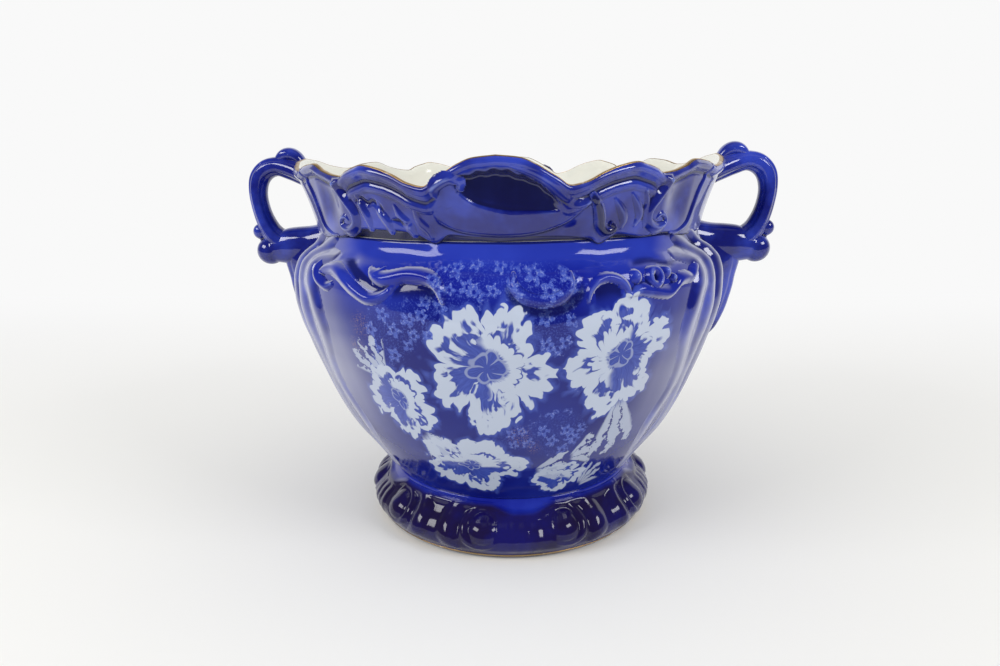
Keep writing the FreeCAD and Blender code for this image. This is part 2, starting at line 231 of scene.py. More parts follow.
def place_on(radius_at, azimuth, height, lift):
    """Points lifted square off a wall whose radius is read by a function."""
    above, below = (radius_at(azimuth, height + step) for step in (SLOPE_REACH, -SLOPE_REACH))
    slope = (above - below) / (2 * SLOPE_REACH)
    lean = 1 / np.sqrt(1 + slope * slope)
    return at_radius(radius_at(azimuth, height) + lift * lean, azimuth, height - lift * slope * lean)


# Relief

def stroke(azimuth, height, points, left, right, rise, girth, power=1.5):
    """The height of a raised line along points: degrees, height and size share."""
    degree = math.radians(girth)
    line = through(points)
    across, up, size = line[:, 0] * degree, line[:, 1], np.maximum(line[:, 2], 0.01)
    x, y = np.asarray(azimuth, float) * degree, np.asarray(height, float)
    reach = max(left, right)
    lifted = np.zeros(x.shape)
    near = ((x > across.min() - reach) & (x < across.max() + reach)
            & (y > up.min() - reach) & (y < up.max() + reach))
    if not near.any():
        return lifted
    px, py = x[near][:, None], y[near][:, None]
    dx, dy = np.diff(across)[None], np.diff(up)[None]
    length = dx * dx + dy * dy + 1e-9
    part = np.clip(((px - across[:-1]) * dx + (py - up[:-1]) * dy) / length, 0, 1)
    ox, oy = px - across[:-1] - part * dx, py - up[:-1] - part * dy
    gap = np.hypot(ox, oy)
    best = gap.argmin(axis=1)
    rows = np.arange(len(best))
    side = dx[0, best] * oy[rows, best] - dy[0, best] * ox[rows, best]
    wide = size[best] + (size[best + 1] - size[best]) * part[rows, best]
    half = np.where(side > 0, left, right) * wide
    t = np.clip(gap[rows, best] / half, 0, 1)
    lifted[near] = rise * wide * (1 - t * t) ** power
    return lifted


def heaped(layers):
    """The height of several raised lines where they run into each other."""
    return sum(np.maximum(layer, 0) ** 4 for layer in layers) ** 0.25


# Ornament of the collar: degrees from the front, millimetres up, size share
C_STEM = [(38.9, 201.5, 0.4), (41.6, 198.5, 0.7), (42.4, 194.6, 0.95), (40.4, 188.7, 1.0),
          (38.1, 183.2, 1.0), (38.4, 178.2, 0.95), (41.2, 175.2, 0.9), (44.2, 176.2, 0.75),
          (44.4, 179.2, 0.6), (42.5, 180.5, 0.45), (41.4, 178.9, 0.3)]
PANEL_EDGE = [(62.5, 204.0, 0.4), (60.4, 197.0, 0.8), (58.8, 190.0, 1.0), (57.6, 182.0, 1.0),
              (55.8, 174.6, 0.9), (51.6, 171.2, 0.6), (48.0, 171.4, 0.3)]
SKIRT_LEAVES = [[(35.6, 190.5, 0.4), (34.6, 186.0, 0.9), (33.4, 181.0, 1.0), (33.0, 176.6, 0.6)],
                [(29.4, 188.0, 0.4), (28.6, 183.6, 0.9), (27.2, 179.4, 1.0), (26.4, 175.8, 0.6)],
                [(24.0, 186.6, 0.4), (22.8, 182.0, 0.9), (21.0, 178.0, 1.0), (20.0, 174.6, 0.6)],
                [(18.6, 184.5, 0.4), (17.8, 180.0, 0.9), (16.2, 176.4, 0.9), (15.6, 173.4, 0.6)]]
LEAF_CLEFTS = [[(36.4, 188.2, 0.5), (34.4, 189.4, 1.0), (32.4, 187.6, 1.0), (30.6, 188.4, 0.9),
                (28.6, 185.6, 1.0), (27.6, 183.4, 0.5)],
               [(25.4, 180.4, 0.5), (23.6, 180.0, 1.0), (21.8, 178.6, 0.9), (20.6, 179.4, 0.4)]]
RIGHT_J_CURL = [(20.4, 191.0, 0.4), (22.4, 186.4, 0.8), (23.4, 181.4, 1.0), (24.0, 177.2, 1.0),
                (25.6, 174.6, 0.9), (27.6, 175.6, 0.6), (27.0, 177.8, 0.35)]
RIGHT_LEAFLETS = [[(27.0, 188.5, 0.4), (28.8, 184.5, 0.9), (30.2, 180.0, 1.0), (30.0, 176.0, 0.5)],
                  [(31.6, 190.5, 0.4), (33.6, 186.0, 0.9), (34.8, 181.0, 1.0), (33.9, 176.6, 0.5)],
                  [(35.4, 192.0, 0.4), (36.6, 187.0, 0.7), (36.4, 182.0, 0.7), (37.0, 175.6, 0.4)]]

# Ornament of the front shell, degrees to the right of the front
SHELL_SWAG = [(-14.4, 186.0, 0.3), (-12.4, 180.6, 0.7), (-8.0, 177.0, 0.95), (0.4, 175.4, 1.0),
              (8.6, 176.4, 1.0), (14.6, 180.2, 0.85), (18.0, 184.6, 0.6), (20.6, 189.4, 0.3)]
SHELL_TONGUE = [(-13.0, 191.4, 0.5), (-12.2, 196.0, 0.9), (-9.8, 198.8, 1.0), (-7.6, 197.4, 0.8),
                (-7.6, 194.8, 0.5)]
SHELL_RIM = [(3.0, 203.4, 0.4), (8.0, 199.6, 0.9), (11.6, 194.8, 1.0), (14.4, 189.6, 1.0),
             (17.0, 187.6, 0.8), (21.0, 188.8, 0.4)]
RECESS_LOW = [(-9.4, 196.5), (-7.4, 190.4), (-3.8, 186.4), (3.9, 183.8), (10.6, 184.0), (15.0, 185.2)]
RECESS_HIGH = [(-9.4, 197.5), (-7.0, 200.6), (-3.4, 202.9), (0.8, 203.8), (4.9, 201.6),
               (9.1, 197.8), (11.9, 192.4), (15.0, 185.6)]
RECESS_SILL = 1.0
RECESS_STAND = 0.85
SCALLOP_START = 0.8
SCALLOP_STEP = 3.2
SCALLOP_DEPTH = 0.6
FLUTE_DEPTH = 0.15

# Ornament of the shoulder left of the front
LEFT_ARCH = [(31.4, 158.6, 0.25), (29.7, 156.0, 0.8), (26.4, 154.4, 1.0), (20.4, 156.6, 1.0),
             (15.4, 155.6, 0.9), (12.6, 151.6, 0.7), (11.6, 146.0, 0.3)]
LEFT_SPUR = [(29.4, 152.6, 0.4), (28.4, 156.2, 0.8), (27.4, 159.8, 0.25)]
LEFT_DRAPE = [(49.4, 152.5, 0.5), (47.6, 155.4, 0.8), (44.0, 156.6, 1.0), (40.6, 154.6, 1.0),
              (37.6, 151.6, 1.0), (34.6, 148.6, 1.0), (30.6, 145.4, 0.9), (27.2, 146.6, 0.8),
              (24.8, 150.2, 0.6), (22.8, 153.6, 0.3)]
LEFT_VOLUTE = [(51.0, 159.0, 0.4), (50.8, 154.6, 0.9), (49.0, 150.4, 1.0), (45.6, 147.8, 0.8),
               (43.2, 149.0, 0.5)]
LEFT_GROOVE = [(44.0, 161.6, 0.4), (39.4, 160.2, 1.0), (35.6, 156.8, 1.0), (32.4, 153.4, 1.0),
               (28.6, 150.6, 0.9), (24.8, 150.4, 0.5)]
LEFT_HOLLOW = [(12.6, 145.0), (13.6, 152.0), (16.5, 154.8), (20.6, 155.2), (23.0, 151.6), (24.6, 146.4)]

# Ornament of the shoulder right of the front
RIGHT_ARCH = [(19.3, 145.0, 0.3), (19.8, 149.6, 0.8), (21.6, 153.4, 1.0), (24.4, 155.0, 1.0),
              (27.2, 153.2, 1.0), (28.8, 149.4, 0.8), (29.3, 145.4, 0.3)]
RIGHT_EDGE = [(29.4, 146.6, 0.5), (32.0, 148.4, 0.9), (35.0, 147.4, 1.0), (38.0, 146.0, 1.0),
              (40.8, 145.4, 1.0), (43.0, 147.4, 0.9), (44.8, 149.8, 1.0), (47.2, 150.6, 1.0),
              (49.4, 150.2, 0.9), (51.4, 152.4, 0.9), (53.6, 154.8, 0.8), (56.4, 153.6, 0.6)]
RIGHT_HOLLOW = [(20.4, 144.0), (20.9, 150.4), (22.6, 153.0), (24.6, 153.8), (26.6, 152.4), (28.2, 146.0)]
SWAG_GROOVE = [(1.6, 154.0, 0.4), (3.4, 147.6, 0.8), (8.0, 143.2, 1.0), (13.4, 143.6, 1.0),
               (17.4, 148.4, 0.8), (18.4, 154.0, 0.4)]
RIGHT_GROOVE = [(30.8, 158.0, 0.4), (33.4, 160.4, 0.9), (38.0, 160.6, 1.0), (43.0, 158.6, 1.0),
                (48.0, 160.0, 0.8), (52.4, 161.6, 0.4)]
RIGHT_SWAG = [(3.4, 159.0, 0.3), (3.6, 153.0, 0.8), (5.8, 148.4, 1.0), (9.4, 146.4, 1.0),
              (13.0, 147.8, 1.0), (15.4, 152.4, 0.8), (15.9, 158.0, 0.3)]
RING_PLACE = (36.4, 153.0)
RING_REACH = 3.1
# The beads by it: degrees, height, reach
BEADS = [(31.4, 154.4, 3.4), (40.6, 154.8, 3.0), (42.4, 151.8, 2.2)]
BEAD_RISE = 2.8

# Folds down the sides of the bowl
OUTER_FOLD = [(59.0, 173.0, 0.4), (63.2, 164.0, 0.8), (65.8, 150.0, 1.0), (65.4, 128.0, 1.0),
              (64.6, 105.0, 1.0), (64.4, 84.0, 0.9), (62.6, 62.0, 0.8), (58.6, 36.0, 0.4)]
MIDDLE_FOLD = [(51.1, 169.6, 0.4), (56.8, 163.0, 0.8), (59.6, 155.0, 1.0), (58.4, 141.0, 1.0),
               (57.2, 124.0, 1.0), (57.8, 104.0, 0.95), (58.8, 84.0, 0.85), (58.0, 60.0, 0.7),
               (55.0, 38.0, 0.35)]
INNER_FOLD = [(47.0, 161.4, 0.35), (52.4, 158.4, 0.8), (53.4, 151.0, 1.0), (51.4, 139.0, 1.0),
              (50.4, 124.0, 0.9), (51.6, 108.0, 0.8), (52.4, 92.0, 0.8), (50.8, 78.0, 0.8),
              (50.6, 64.0, 0.7), (53.4, 46.0, 0.35)]

# Ornament of the foot, degrees from the middle of one of its five repeats
BOSS_TURN = 15.7
BOSS_HEIGHT = 16.6
BOSS_REACH = 8.0
BOSS_RISE = 2.6
RING_SCROLL_REACH = 10.6
BOSS_SQUASH = 1.14
RING_SCROLL_POINTS = 15
RING_SCROLL_START, RING_SCROLL_END = 28, 318
RING_SCROLL_SQUASH = 0.82
CRESCENT = [(24.0, 26.4, 0.5), (28.0, 23.6, 0.9), (29.6, 17.4, 1.0), (28.8, 10.8, 0.9),
            (25.4, 6.8, 0.4)]
FLUTES = [-4.4, 0.0, 4.4]
LEDGE_LOW = 23.4
LEDGE_RISE = 3.6
FOOT_REPEATS = 5
FOOT_PATTERN_TURN = 7.3


# Raised lines with their reach on the left and right, rise and roundness
COLLAR_SCROLLS = [(C_STEM, 2.6, 4.4, 2.5, 2.0), (PANEL_EDGE, 1.8, 2.6, 1.4, 1.8)]
COLLAR_LEFT = [(line, 3.4, 3.4, 1.5, 2.0) for line in SKIRT_LEAVES]
COLLAR_RIGHT = [(RIGHT_J_CURL, 2.3, 2.3, 2.2, 1.5)] + [
    (line, 2.9, 2.9, 1.6, 2.0) for line in RIGHT_LEAFLETS]
COLLAR_CLEFTS = [(line, 2.2, 2.2, 1.1, 2.0) for line in LEAF_CLEFTS]
SHELL_LINES = [(SHELL_TONGUE, 3.2, 3.2, 2.2, 1.8), (SHELL_RIM, 2.6, 2.0, 1.3, 1.8)]
SHOULDER_LEFT = [(LEFT_ARCH, 3.4, 4.4, 3.6, 1.1), (LEFT_SPUR, 2.6, 3.0, 2.6, 1.1),
                 (LEFT_DRAPE, 3.8, 3.4, 2.6, 1.2), (LEFT_VOLUTE, 3.4, 3.6, 3.2, 1.1)]
SHOULDER_RIGHT = [(RIGHT_ARCH, 2.8, 2.0, 2.0, 1.4), (RIGHT_EDGE, 4.0, 3.0, 2.7, 1.2),
                  (RIGHT_SWAG, 3.2, 3.2, 2.0, 1.4)]
GROOVES_LEFT = [(LEFT_GROOVE, 4.2, 4.2, 1.1, 2.0)]
GROOVES_RIGHT = [(SWAG_GROOVE, 5.4, 5.4, 0.9, 1.6), (RIGHT_GROOVE, 4.0, 4.0, 0.9, 2.0)]
# The folds that wave outward, and the one that waves the other way
FOLDS_OUT = [(OUTER_FOLD, 9.0, 7.0, 2.3, 1.7), (INNER_FOLD, 10.0, 8.0, 1.6, 1.9)]
FOLDS_BACK = [(MIDDLE_FOLD, 8.0, 7.6, 2.0, 1.7)]
FOLD_SWELL = 0.6
FOLD_WAVE = 0.7
FOLD_WAVE_LENGTH = 9.0
HOLLOW_DEPTH = 1.1
# The cove under the neck: height, share of the skirt's waves that it follows, depth, sway
COVE_HEIGHT = 163.8
COVE_FOLLOW = 0.35
COVE_DEPTH = 1.1
COVE_SWAY = 0.3

# Radii at which degrees of the ornament are turned into millimetres
COLLAR_GIRTH = NECK_RADIUS + LIP_FLARE / 2
SHOULDER_GIRTH = BULB_RADIUS - 3
FOLD_GIRTH = BULB_RADIUS - 2
FOOT_GIRTH = FOOT_REACH - 1


def strokes(turn, height, girth, rows):
    """The heights of raised lines from their points, reach on the left and right, rise and power."""
    return [stroke(turn, height, points, left, right, rise, girth, power)
            for points, left, right, rise, power in rows]


def sided(turn, left, right):
    """Raised lines kept to the left or to the right of the middle."""
    return ([np.where(turn < 0, layer, 0) for layer in left]
            + [np.where(turn > 0, layer, 0) for layer in right])


def scoop(turn, height, outline, depth, girth):
    """A hollow that is deepest under its arched upper edge and runs out at the bottom."""
    rows = np.array(outline, float)
    top = Curve([(row[0], row[1]) for row in outline])
    foot_level = rows[:, 1].min() - 3
    left, right = rows[0, 0], rows[-1, 0]
    degree = math.radians(girth)
    inset = np.minimum(turn - left, right - turn) * degree
    below = top(turn) - height
    fall = np.clip((height - foot_level) / (rows[:, 1].max() - foot_level), 0, 1)
    return -depth * fall * soft_step(0, 1.6, inset) * soft_step(0, 1.4, below)


def lip_relief(turn, height, crest):
    """The rolled lip, its shadow groove and the fine ridge below it."""
    below = crest - height
    roll = 1.5 * hump(below, 2.6, 3.4)
    fold = np.abs(turn)
    groove = -0.9 * hump(below, 7.4, 2.0) + 0.7 * hump(below, 10.4, 2.2)
    side_groove = -0.5 * hump(below, 6.6, 1.8)
    return roll + groove * plateau(10.5, 15, 37, 41, fold) + side_groove * plateau(43, 47, 62, 70, fold)


def recess_depth(azimuth, height):
    """How far the shell under the lip is scooped in, its back upright and its edge scalloped."""
    turn = signed_turn(azimuth)
    low, high = Curve(RECESS_LOW)(turn), Curve(RECESS_HIGH)(turn)
    lean = turn + 0.1 * (height - high) - SCALLOP_START
    scallop = 0.5 + 0.5 * np.cos(2 * np.pi * lean / SCALLOP_STEP)
    high = high - SCALLOP_DEPTH * scallop
    tall = np.maximum(high - low, 0.5)
    up = np.clip((height - low) / tall, 0, 1)
    start, end = RECESS_LOW[0][0], RECESS_LOW[-1][0]
    ends = plateau(start, start + 1.4, end - 3.2, end, turn)
    under_lip = 1 - soft_step(0.8, 1.0, up)
    flutes = FLUTE_DEPTH * scallop * soft_step(0.5, 0.8, up)
    stand = collar_radius(azimuth, height) - collar_radius(azimuth, low)
    depth = soft_step(0, 1.2, height - low) * (RECESS_SILL + RECESS_STAND * stand)
    inside = (height > low) & (height < high)
    return np.where(inside, np.maximum(depth - flutes, 0) * under_lip * ends, 0)


def collar_broad(azimuth, height):
    """The collar's soft forms, which its wall mesh carries."""
    turn = signed_turn(azimuth)
    fold = np.abs(turn)
    relief = lip_relief(turn, height, crest_height(azimuth))
    relief += stroke(turn, height, SHELL_SWAG, 12.0, 2.6, 2.2, NECK_RADIUS, 2.0)
    leaf = hump(fold, 48.6, 6.4) * hump(height, 188, 17)
    lobe = hump(fold, 26, 13) * hump(height, 193, 10)
    clefts = heaped(strokes(fold, height, COLLAR_GIRTH, COLLAR_CLEFTS))
    return relief - 2.2 * leaf - 0.9 * lobe - np.where(turn < 0, clefts, 0)


def collar_fine(azimuth, height):
    """The scrolls and leaves applied to the sides of the collar."""
    turn = signed_turn(azimuth)
    fold = np.abs(turn)
    both, left, right = (strokes(fold, height, COLLAR_GIRTH, rows)
                         for rows in (COLLAR_SCROLLS, COLLAR_LEFT, COLLAR_RIGHT))
    under_lip = soft_step(0.6, 3.0, crest_height(azimuth) - height)
    return heaped(both + sided(turn, left, right)) * under_lip


def shell_fine(azimuth, height):
    """The swag, tongue and rim of the shell on the front of the collar."""
    return heaped(strokes(signed_turn(azimuth), height, COLLAR_GIRTH, SHELL_LINES))


def shoulder_hollows(azimuth, height):
    """The hollows under the shoulder's arches."""
    turn = signed_turn(azimuth)
    hollows = scoop(-turn, height, LEFT_HOLLOW, HOLLOW_DEPTH, BULB_RADIUS)
    hollows += scoop(turn, height, RIGHT_HOLLOW, HOLLOW_DEPTH, BULB_RADIUS)
    grooves = strokes(-turn, height, BULB_RADIUS, GROOVES_LEFT)
    grooves += strokes(turn, height, BULB_RADIUS, GROOVES_RIGHT)
    return hollows - sum(grooves)


def bowl_broad(azimuth, height):
    """The bowl's soft forms, which its wall mesh carries."""
    side = hump(folded(azimuth), 57, 14) * plateau(40, 90, 150, 172, height)
    cove = COVE_HEIGHT + COVE_FOLLOW * (skirt_height(azimuth) - NECK_HEIGHT)
    sway = np.sin(np.radians(azimuth * 9)) + np.sin(np.radians(azimuth * 14 + 60))
    neck_hollow = -(COVE_DEPTH + COVE_SWAY * sway) * hump(height, cove + 0.8 * sway, 8.0)
    wander = 0.9 * sway * hump(height, 153, 13.0)
    ripple = belly_curve(height + wander) - belly_curve(height)
    return shoulder_hollows(azimuth, height) + 0.8 * side + neck_hollow + ripple


def shoulder_fine(azimuth, height):
    """The scrolls that edge the shoulder."""
    turn = signed_turn(azimuth)
    fold = np.abs(turn)
    degree = math.radians(SHOULDER_GIRTH)
    left = strokes(fold, height, SHOULDER_GIRTH, SHOULDER_LEFT)
    ring_line = [(RING_PLACE[0] + RING_REACH * math.cos(math.radians(angle)) / degree,
                  RING_PLACE[1] + RING_REACH * math.sin(math.radians(angle)), 1.0)
                 for angle in range(0, 361, 30)]
    right = strokes(fold, height, SHOULDER_GIRTH, SHOULDER_RIGHT + [(ring_line, 2.3, 2.3, 3.3, 1.1)])
    for at, up, reach in BEADS:
        gap = np.hypot((fold - at) * degree, height - up) / reach
        right.append(BEAD_RISE * np.clip(1 - gap * gap, 0, 1))
    return heaped(sided(turn, left, right))


def fold_fine(azimuth, height):
    """The drapery folds that run down the sides of the bowl."""
    fold = folded(azimuth)
    swell = 1 + FOLD_SWELL * soft_step(112, 142, height)
    wave = FOLD_WAVE * np.sin(height / FOLD_WAVE_LENGTH)
    folds = strokes(fold + wave, height, FOLD_GIRTH, FOLDS_OUT)
    folds += strokes(fold - wave, height, FOLD_GIRTH, FOLDS_BACK)
    return swell * np.sqrt(sum(layer * layer for layer in folds))


def foot_turn(azimuth):
    """Degrees from the middle of the nearest of the foot's repeats."""
    step = 360 / FOOT_REPEATS
    return (np.asarray(azimuth, float) - FOOT_PATTERN_TURN + step / 2) % step - step / 2


def foot_ledge(local):
    """Height of the wavy edge of the foot's dark band, over one of its repeats."""
    return LEDGE_LOW + LEDGE_RISE * soft_step(3.0, 14.0, np.abs(local))


def foot_fine(azimuth, height):
    """The raised band round the foot with its bosses, ring scrolls, crescents and flutes."""
    local = foot_turn(azimuth)
    fold = np.abs(local)
    degree = math.radians(FOOT_GIRTH)
    gap = np.hypot((fold - BOSS_TURN) * degree, (height - BOSS_HEIGHT) * BOSS_SQUASH) / BOSS_REACH
    boss = BOSS_RISE * np.clip(1 - gap * gap, 0, 1) ** 0.8
    ring_points = []
    sweep = (RING_SCROLL_END - RING_SCROLL_START) / (RING_SCROLL_POINTS - 1)
    for index in range(RING_SCROLL_POINTS):
        turn = math.radians(RING_SCROLL_START + sweep * index)
        reach = RING_SCROLL_REACH - 2.6 * max(0, 4 - index) / 4
        ring_points.append((BOSS_TURN - reach * math.cos(turn) / degree,
                            BOSS_HEIGHT + reach * RING_SCROLL_SQUASH * math.sin(turn),
                            1.05 - 0.11 * abs(index - 7) ** 1.05 + 0.12 * (index < 3)))
    layers = [boss] + strokes(fold, height, FOOT_GIRTH, [(ring_points, 3.2, 3.6, 1.5, 1.7),
                                                         (CRESCENT, 7.0, 6.4, 2.0, 1.5)])
    layers += [0.5 * hump(local, at, 2.6) * plateau(4, 9, 17, 23, height) for at in FLUTES]
    ledge = foot_ledge(local)
    layers.append(hump(height, ledge - 1.2, 3.2))
    band = 0.7 * plateau(3.2, 7.0, ledge - 1.6, ledge + 1.6, height)
    return heaped(layers) + band


def foot_band(azimuth, height):
    """Share of the foot's dark glaze: all of it below the wavy ledge."""
    return 1 - soft_step(-1.0, 1.6, height - foot_ledge(foot_turn(azimuth)))


# Meshes

def fresh():
    """Leave edit mode with nothing selected."""
    if bpy.context.mode != "OBJECT":
        bpy.ops.object.mode_set(mode="OBJECT")
    bpy.ops.object.select_all(action="DESELECT")


def pick(piece):
    """Select one piece alone."""
    fresh()
    piece.select_set(True)
    bpy.context.view_layer.objects.active = piece


def points_of(piece):
    """A piece's points as an array in millimetres."""
    places = np.empty(len(piece.data.vertices) * 3)
    piece.data.vertices.foreach_get("co", places)
    return places.reshape(-1, 3) / MM


def move_points(piece, places):
    """Put a piece's points at places given in metres."""
    piece.data.vertices.foreach_set("co", np.asarray(places, float).ravel())
    piece.data.update()


def azimuth_of(places):
    """Degrees right of the front, looking from above, of an array of places."""
    return np.degrees(np.arctan2(places[:, 0], -places[:, 1]))


DOUBLE_GAP = 0.005


def finish_skin(piece):
    """Merge doubled points, turn the faces outward and smooth the shading."""
    pick(piece)
    bpy.ops.object.mode_set(mode="EDIT")
    bpy.ops.mesh.select_all(action="SELECT")
    bpy.ops.mesh.remove_doubles(threshold=DOUBLE_GAP * MM)
    bpy.ops.mesh.normals_make_consistent(inside=False)
    bpy.ops.object.mode_set(mode="OBJECT")
    bpy.ops.object.shade_smooth()


def spun(name, outline, steps):
    """A wall turned about the pot's axis from an outline of radii and heights."""
    fresh()
    bpy.ops.mesh.primitive_plane_add(size=MM)
    piece = bpy.context.object
    piece.name = name
    bpy.ops.object.mode_set(mode="EDIT")
    bpy.ops.mesh.merge(type="CENTER")
    points = [Vector((0, -radius, height)) * MM for radius, height in outline]
    bpy.ops.transform.translate(value=points[0])
    for before, after in zip(points, points[1:]):
        bpy.ops.mesh.extrude_region_move(TRANSFORM_OT_translate={"value": after - before})
    bpy.ops.object.mode_set(mode="OBJECT")
    turn = piece.modifiers.new("turn", "SCREW")
    turn.steps = turn.render_steps = steps
    turn.use_merge_vertices = True
    turn.merge_threshold = 0.001 * MM
    bpy.ops.object.modifier_apply(modifier=turn.name)
    finish_skin(piece)
    return piece


AT_ONCE = 20000


def rows_of(piece, outline):
    """For each point of a spun wall, its row of the outline and its azimuth."""
    places = points_of(piece)
    radius = np.hypot(places[:, 0], places[:, 1])
    line = np.array(outline, float)
    row = np.empty(len(places), int)
    for start in range(0, len(places), AT_ONCE):
        part = slice(start, start + AT_ONCE)
        gap = (np.abs(radius[part, None] - line[:, 0]) + np.abs(places[part, 2, None] - line[:, 1]))
        row[part] = gap.argmin(axis=1)
    return row, azimuth_of(places)


# Painted shade: how much darker the glaze is painted for each millimetre that a broad hollow sinks
PAINTED_SHADE_TONE = 0.055
BEND_LIMIT = 0.6
BEND_ROUNDS = 3


def mark_bends(piece, painted_shade=0.0):
    """Record on each point how far it stands out, ridges above 0 and hollows below, with any painted
    shade added on top so that the glaze shows darker there.
    """
    mesh = piece.data
    count = len(mesh.vertices)
    ends = np.empty(len(mesh.edges) * 2, int)
    mesh.edges.foreach_get("vertices", ends)
    near, far = ends.reshape(-1, 2).T
    facing = np.empty(count * 3)
    mesh.vertices.foreach_get("normal", facing)
    facing = facing.reshape(-1, 3)
    gap = points_of(piece)
    gap = gap[far] - gap[near]
    turn = ((facing[far] - facing[near]) * gap).sum(axis=1) / ((gap * gap).sum(axis=1) + 1e-6)
    ways = np.bincount(near, minlength=count) + np.bincount(far, minlength=count)
    ways = np.maximum(ways, 1)
    bend = (np.bincount(near, turn, count) + np.bincount(far, turn, count)) / ways
    for _ in range(BEND_ROUNDS):
        about = np.bincount(near, bend[far], count) + np.bincount(far, bend[near], count)
        bend = (bend + about / ways) / 2
    mark = mesh.attributes.new("bend", "FLOAT", "POINT")
    # The painted shade is added to the bend, so it darkens the glaze as a hollow does
    mark.data.foreach_set("value", np.clip(bend, -BEND_LIMIT, BEND_LIMIT) + painted_shade)


def mark_band(piece):
    """Record on each point of the foot its share of dark glaze."""
    places = points_of(piece)
    share = foot_band(azimuth_of(places), places[:, 2])
    mark = piece.data.attributes.new("dark", "FLOAT", "POINT")
    mark.data.foreach_set("value", share)


PATCH_SINK = 0.1
PATCH_BACKING = 0.9


def patch(name, radius_at, broad, fine, turns, levels, cell):
    """A moulding laid on a wall: a fine grid lifted by its relief, its bare borders cut off."""
    middle = radius_at(np.array(sum(turns) / 2), np.array(sum(levels) / 2.0))
    columns = max(4, int(math.radians(turns[1] - turns[0]) * float(middle) / cell))
    rows = max(4, int((levels[1] - levels[0]) / cell))
    fresh()
    bpy.ops.mesh.primitive_grid_add(x_subdivisions=columns, y_subdivisions=rows, size=2)
    piece = bpy.context.object
    piece.name = name
    share = points_of(piece) * MM / 2 + 0.5
    azimuth = turns[0] + (turns[1] - turns[0]) * share[:, 0]
    height = levels[0] + (levels[1] - levels[0]) * share[:, 1]
    rise = fine(azimuth, height)
    lift = broad(azimuth, height) + rise - PATCH_SINK
    move_points(piece, place_on(radius_at, azimuth, height, lift))
    bpy.ops.object.mode_set(mode="EDIT")
    mesh = bmesh.from_edit_mesh(piece.data)
    bpy.ops.mesh.select_all(action="DESELECT")
    bpy.ops.mesh.select_mode(type="FACE")
    for face in mesh.faces:
        face.select_set(all(rise[corner.index] < PATCH_SINK * 0.2 for corner in face.verts))
    bmesh.update_edit_mesh(piece.data)
    if any(face.select for face in mesh.faces):
        bpy.ops.mesh.delete(type="FACE")
    bpy.ops.mesh.select_mode(type="VERT")
    bpy.ops.object.mode_set(mode="OBJECT")
    finish_skin(piece)
    mark_bends(piece)
    wall = piece.modifiers.new("backing", "SOLIDIFY")
    wall.thickness = PATCH_BACKING * MM
    wall.offset = -1
    bpy.ops.object.modifier_apply(modifier=wall.name)
    return piece


def swept(name, sections):
    """A tube extruded ring by ring through sections of equally many points, in metres."""
    fresh()
    bpy.ops.mesh.primitive_circle_add(vertices=len(sections[0]), radius=MM)
    piece = bpy.context.object
    piece.name = name
    move_points(piece, sections[0])
    bpy.ops.object.mode_set(mode="EDIT")
    bpy.ops.mesh.select_all(action="SELECT")
    for before, after in zip(sections, sections[1:]):
        bpy.ops.mesh.extrude_region_move()
        mesh = bmesh.from_edit_mesh(piece.data)
        for point in mesh.verts:
            if point.select:
                near = np.abs(before - np.array(point.co)).sum(axis=1).argmin()
                point.co = after[near]
        bmesh.update_edit_mesh(piece.data)
    bpy.ops.mesh.select_all(action="SELECT")
    bpy.ops.mesh.fill_holes(sides=0)
    finish_skin(piece)
    return piece


def join(pieces, name):
    """Make one piece of several."""
    fresh()
    for piece in pieces:
        piece.select_set(True)
    bpy.context.view_layer.objects.active = pieces[0]
    bpy.ops.object.join()
    pieces[0].name = name
    return pieces[0]


def melt(piece, voxel, passes):
    """Run a piece's parts together, with soft fillets where they meet."""
    bpy.context.view_layer.objects.active = piece
    mesh = piece.modifiers.new("body", "REMESH")
    mesh.mode = "VOXEL"
    mesh.voxel_size = voxel * MM
    bpy.ops.object.modifier_apply(modifier=mesh.name)
    soft = piece.modifiers.new("soft", "SMOOTH")
    soft.factor = 0.5
    soft.iterations = passes
    bpy.ops.object.modifier_apply(modifier=soft.name)
    pick(piece)
    bpy.ops.object.shade_smooth()


def mirror_left(piece, name):
    """The same piece on the left of the pot."""
    pick(piece)
    bpy.ops.object.duplicate()
    twin = bpy.context.object
    twin.name = name
    places = points_of(twin) * MM
    places[:, 0] *= -1
    move_points(twin, places)
    finish_skin(twin)
    return twin


def settle(piece, materials, node):
    """Give a piece its finish, its body and the piece of the frame that it stands for."""
    if "bend" not in piece.data.attributes:
        mark_bends(piece)
    piece.data.materials.clear()
    for material in materials:
        piece.data.materials.append(material)
    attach(piece, "root")
    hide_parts(node)


# Finishes

def srgb(red, green, blue):
    """A colour written in 0 to 255 as the shader takes it."""
    shades = []
    for part in (red, green, blue):
        part /= 255
        shades.append(part / 12.92 if part <= 0.04045 else ((part + 0.055) / 1.055) ** 2.4)
    return (*shades, 1.0)


class Wire:
    """A value over a surface, summed like a number."""

    def __init__(self, tree, socket):
        self.tree, self.socket = tree, socket

    def __add__(self, other):
        return calc("ADD", self, other)

    def __sub__(self, other):
        return calc("SUBTRACT", self, other)

    def __rsub__(self, other):
        return calc("SUBTRACT", other, self)

    def __mul__(self, other):
        return calc("MULTIPLY", self, other)

    def __truediv__(self, other):
        return calc("DIVIDE", self, other)

    __radd__, __rmul__ = __add__, __mul__

    def also(self, name):
        """Another output of the same node."""
        return Wire(self.tree, self.socket.node.outputs[name])


def feed(socket, value):
    """Link a socket to a wire, or set its value."""
    if isinstance(value, Wire):
        value.tree.links.new(value.socket, socket)
    else:
        socket.default_value = value


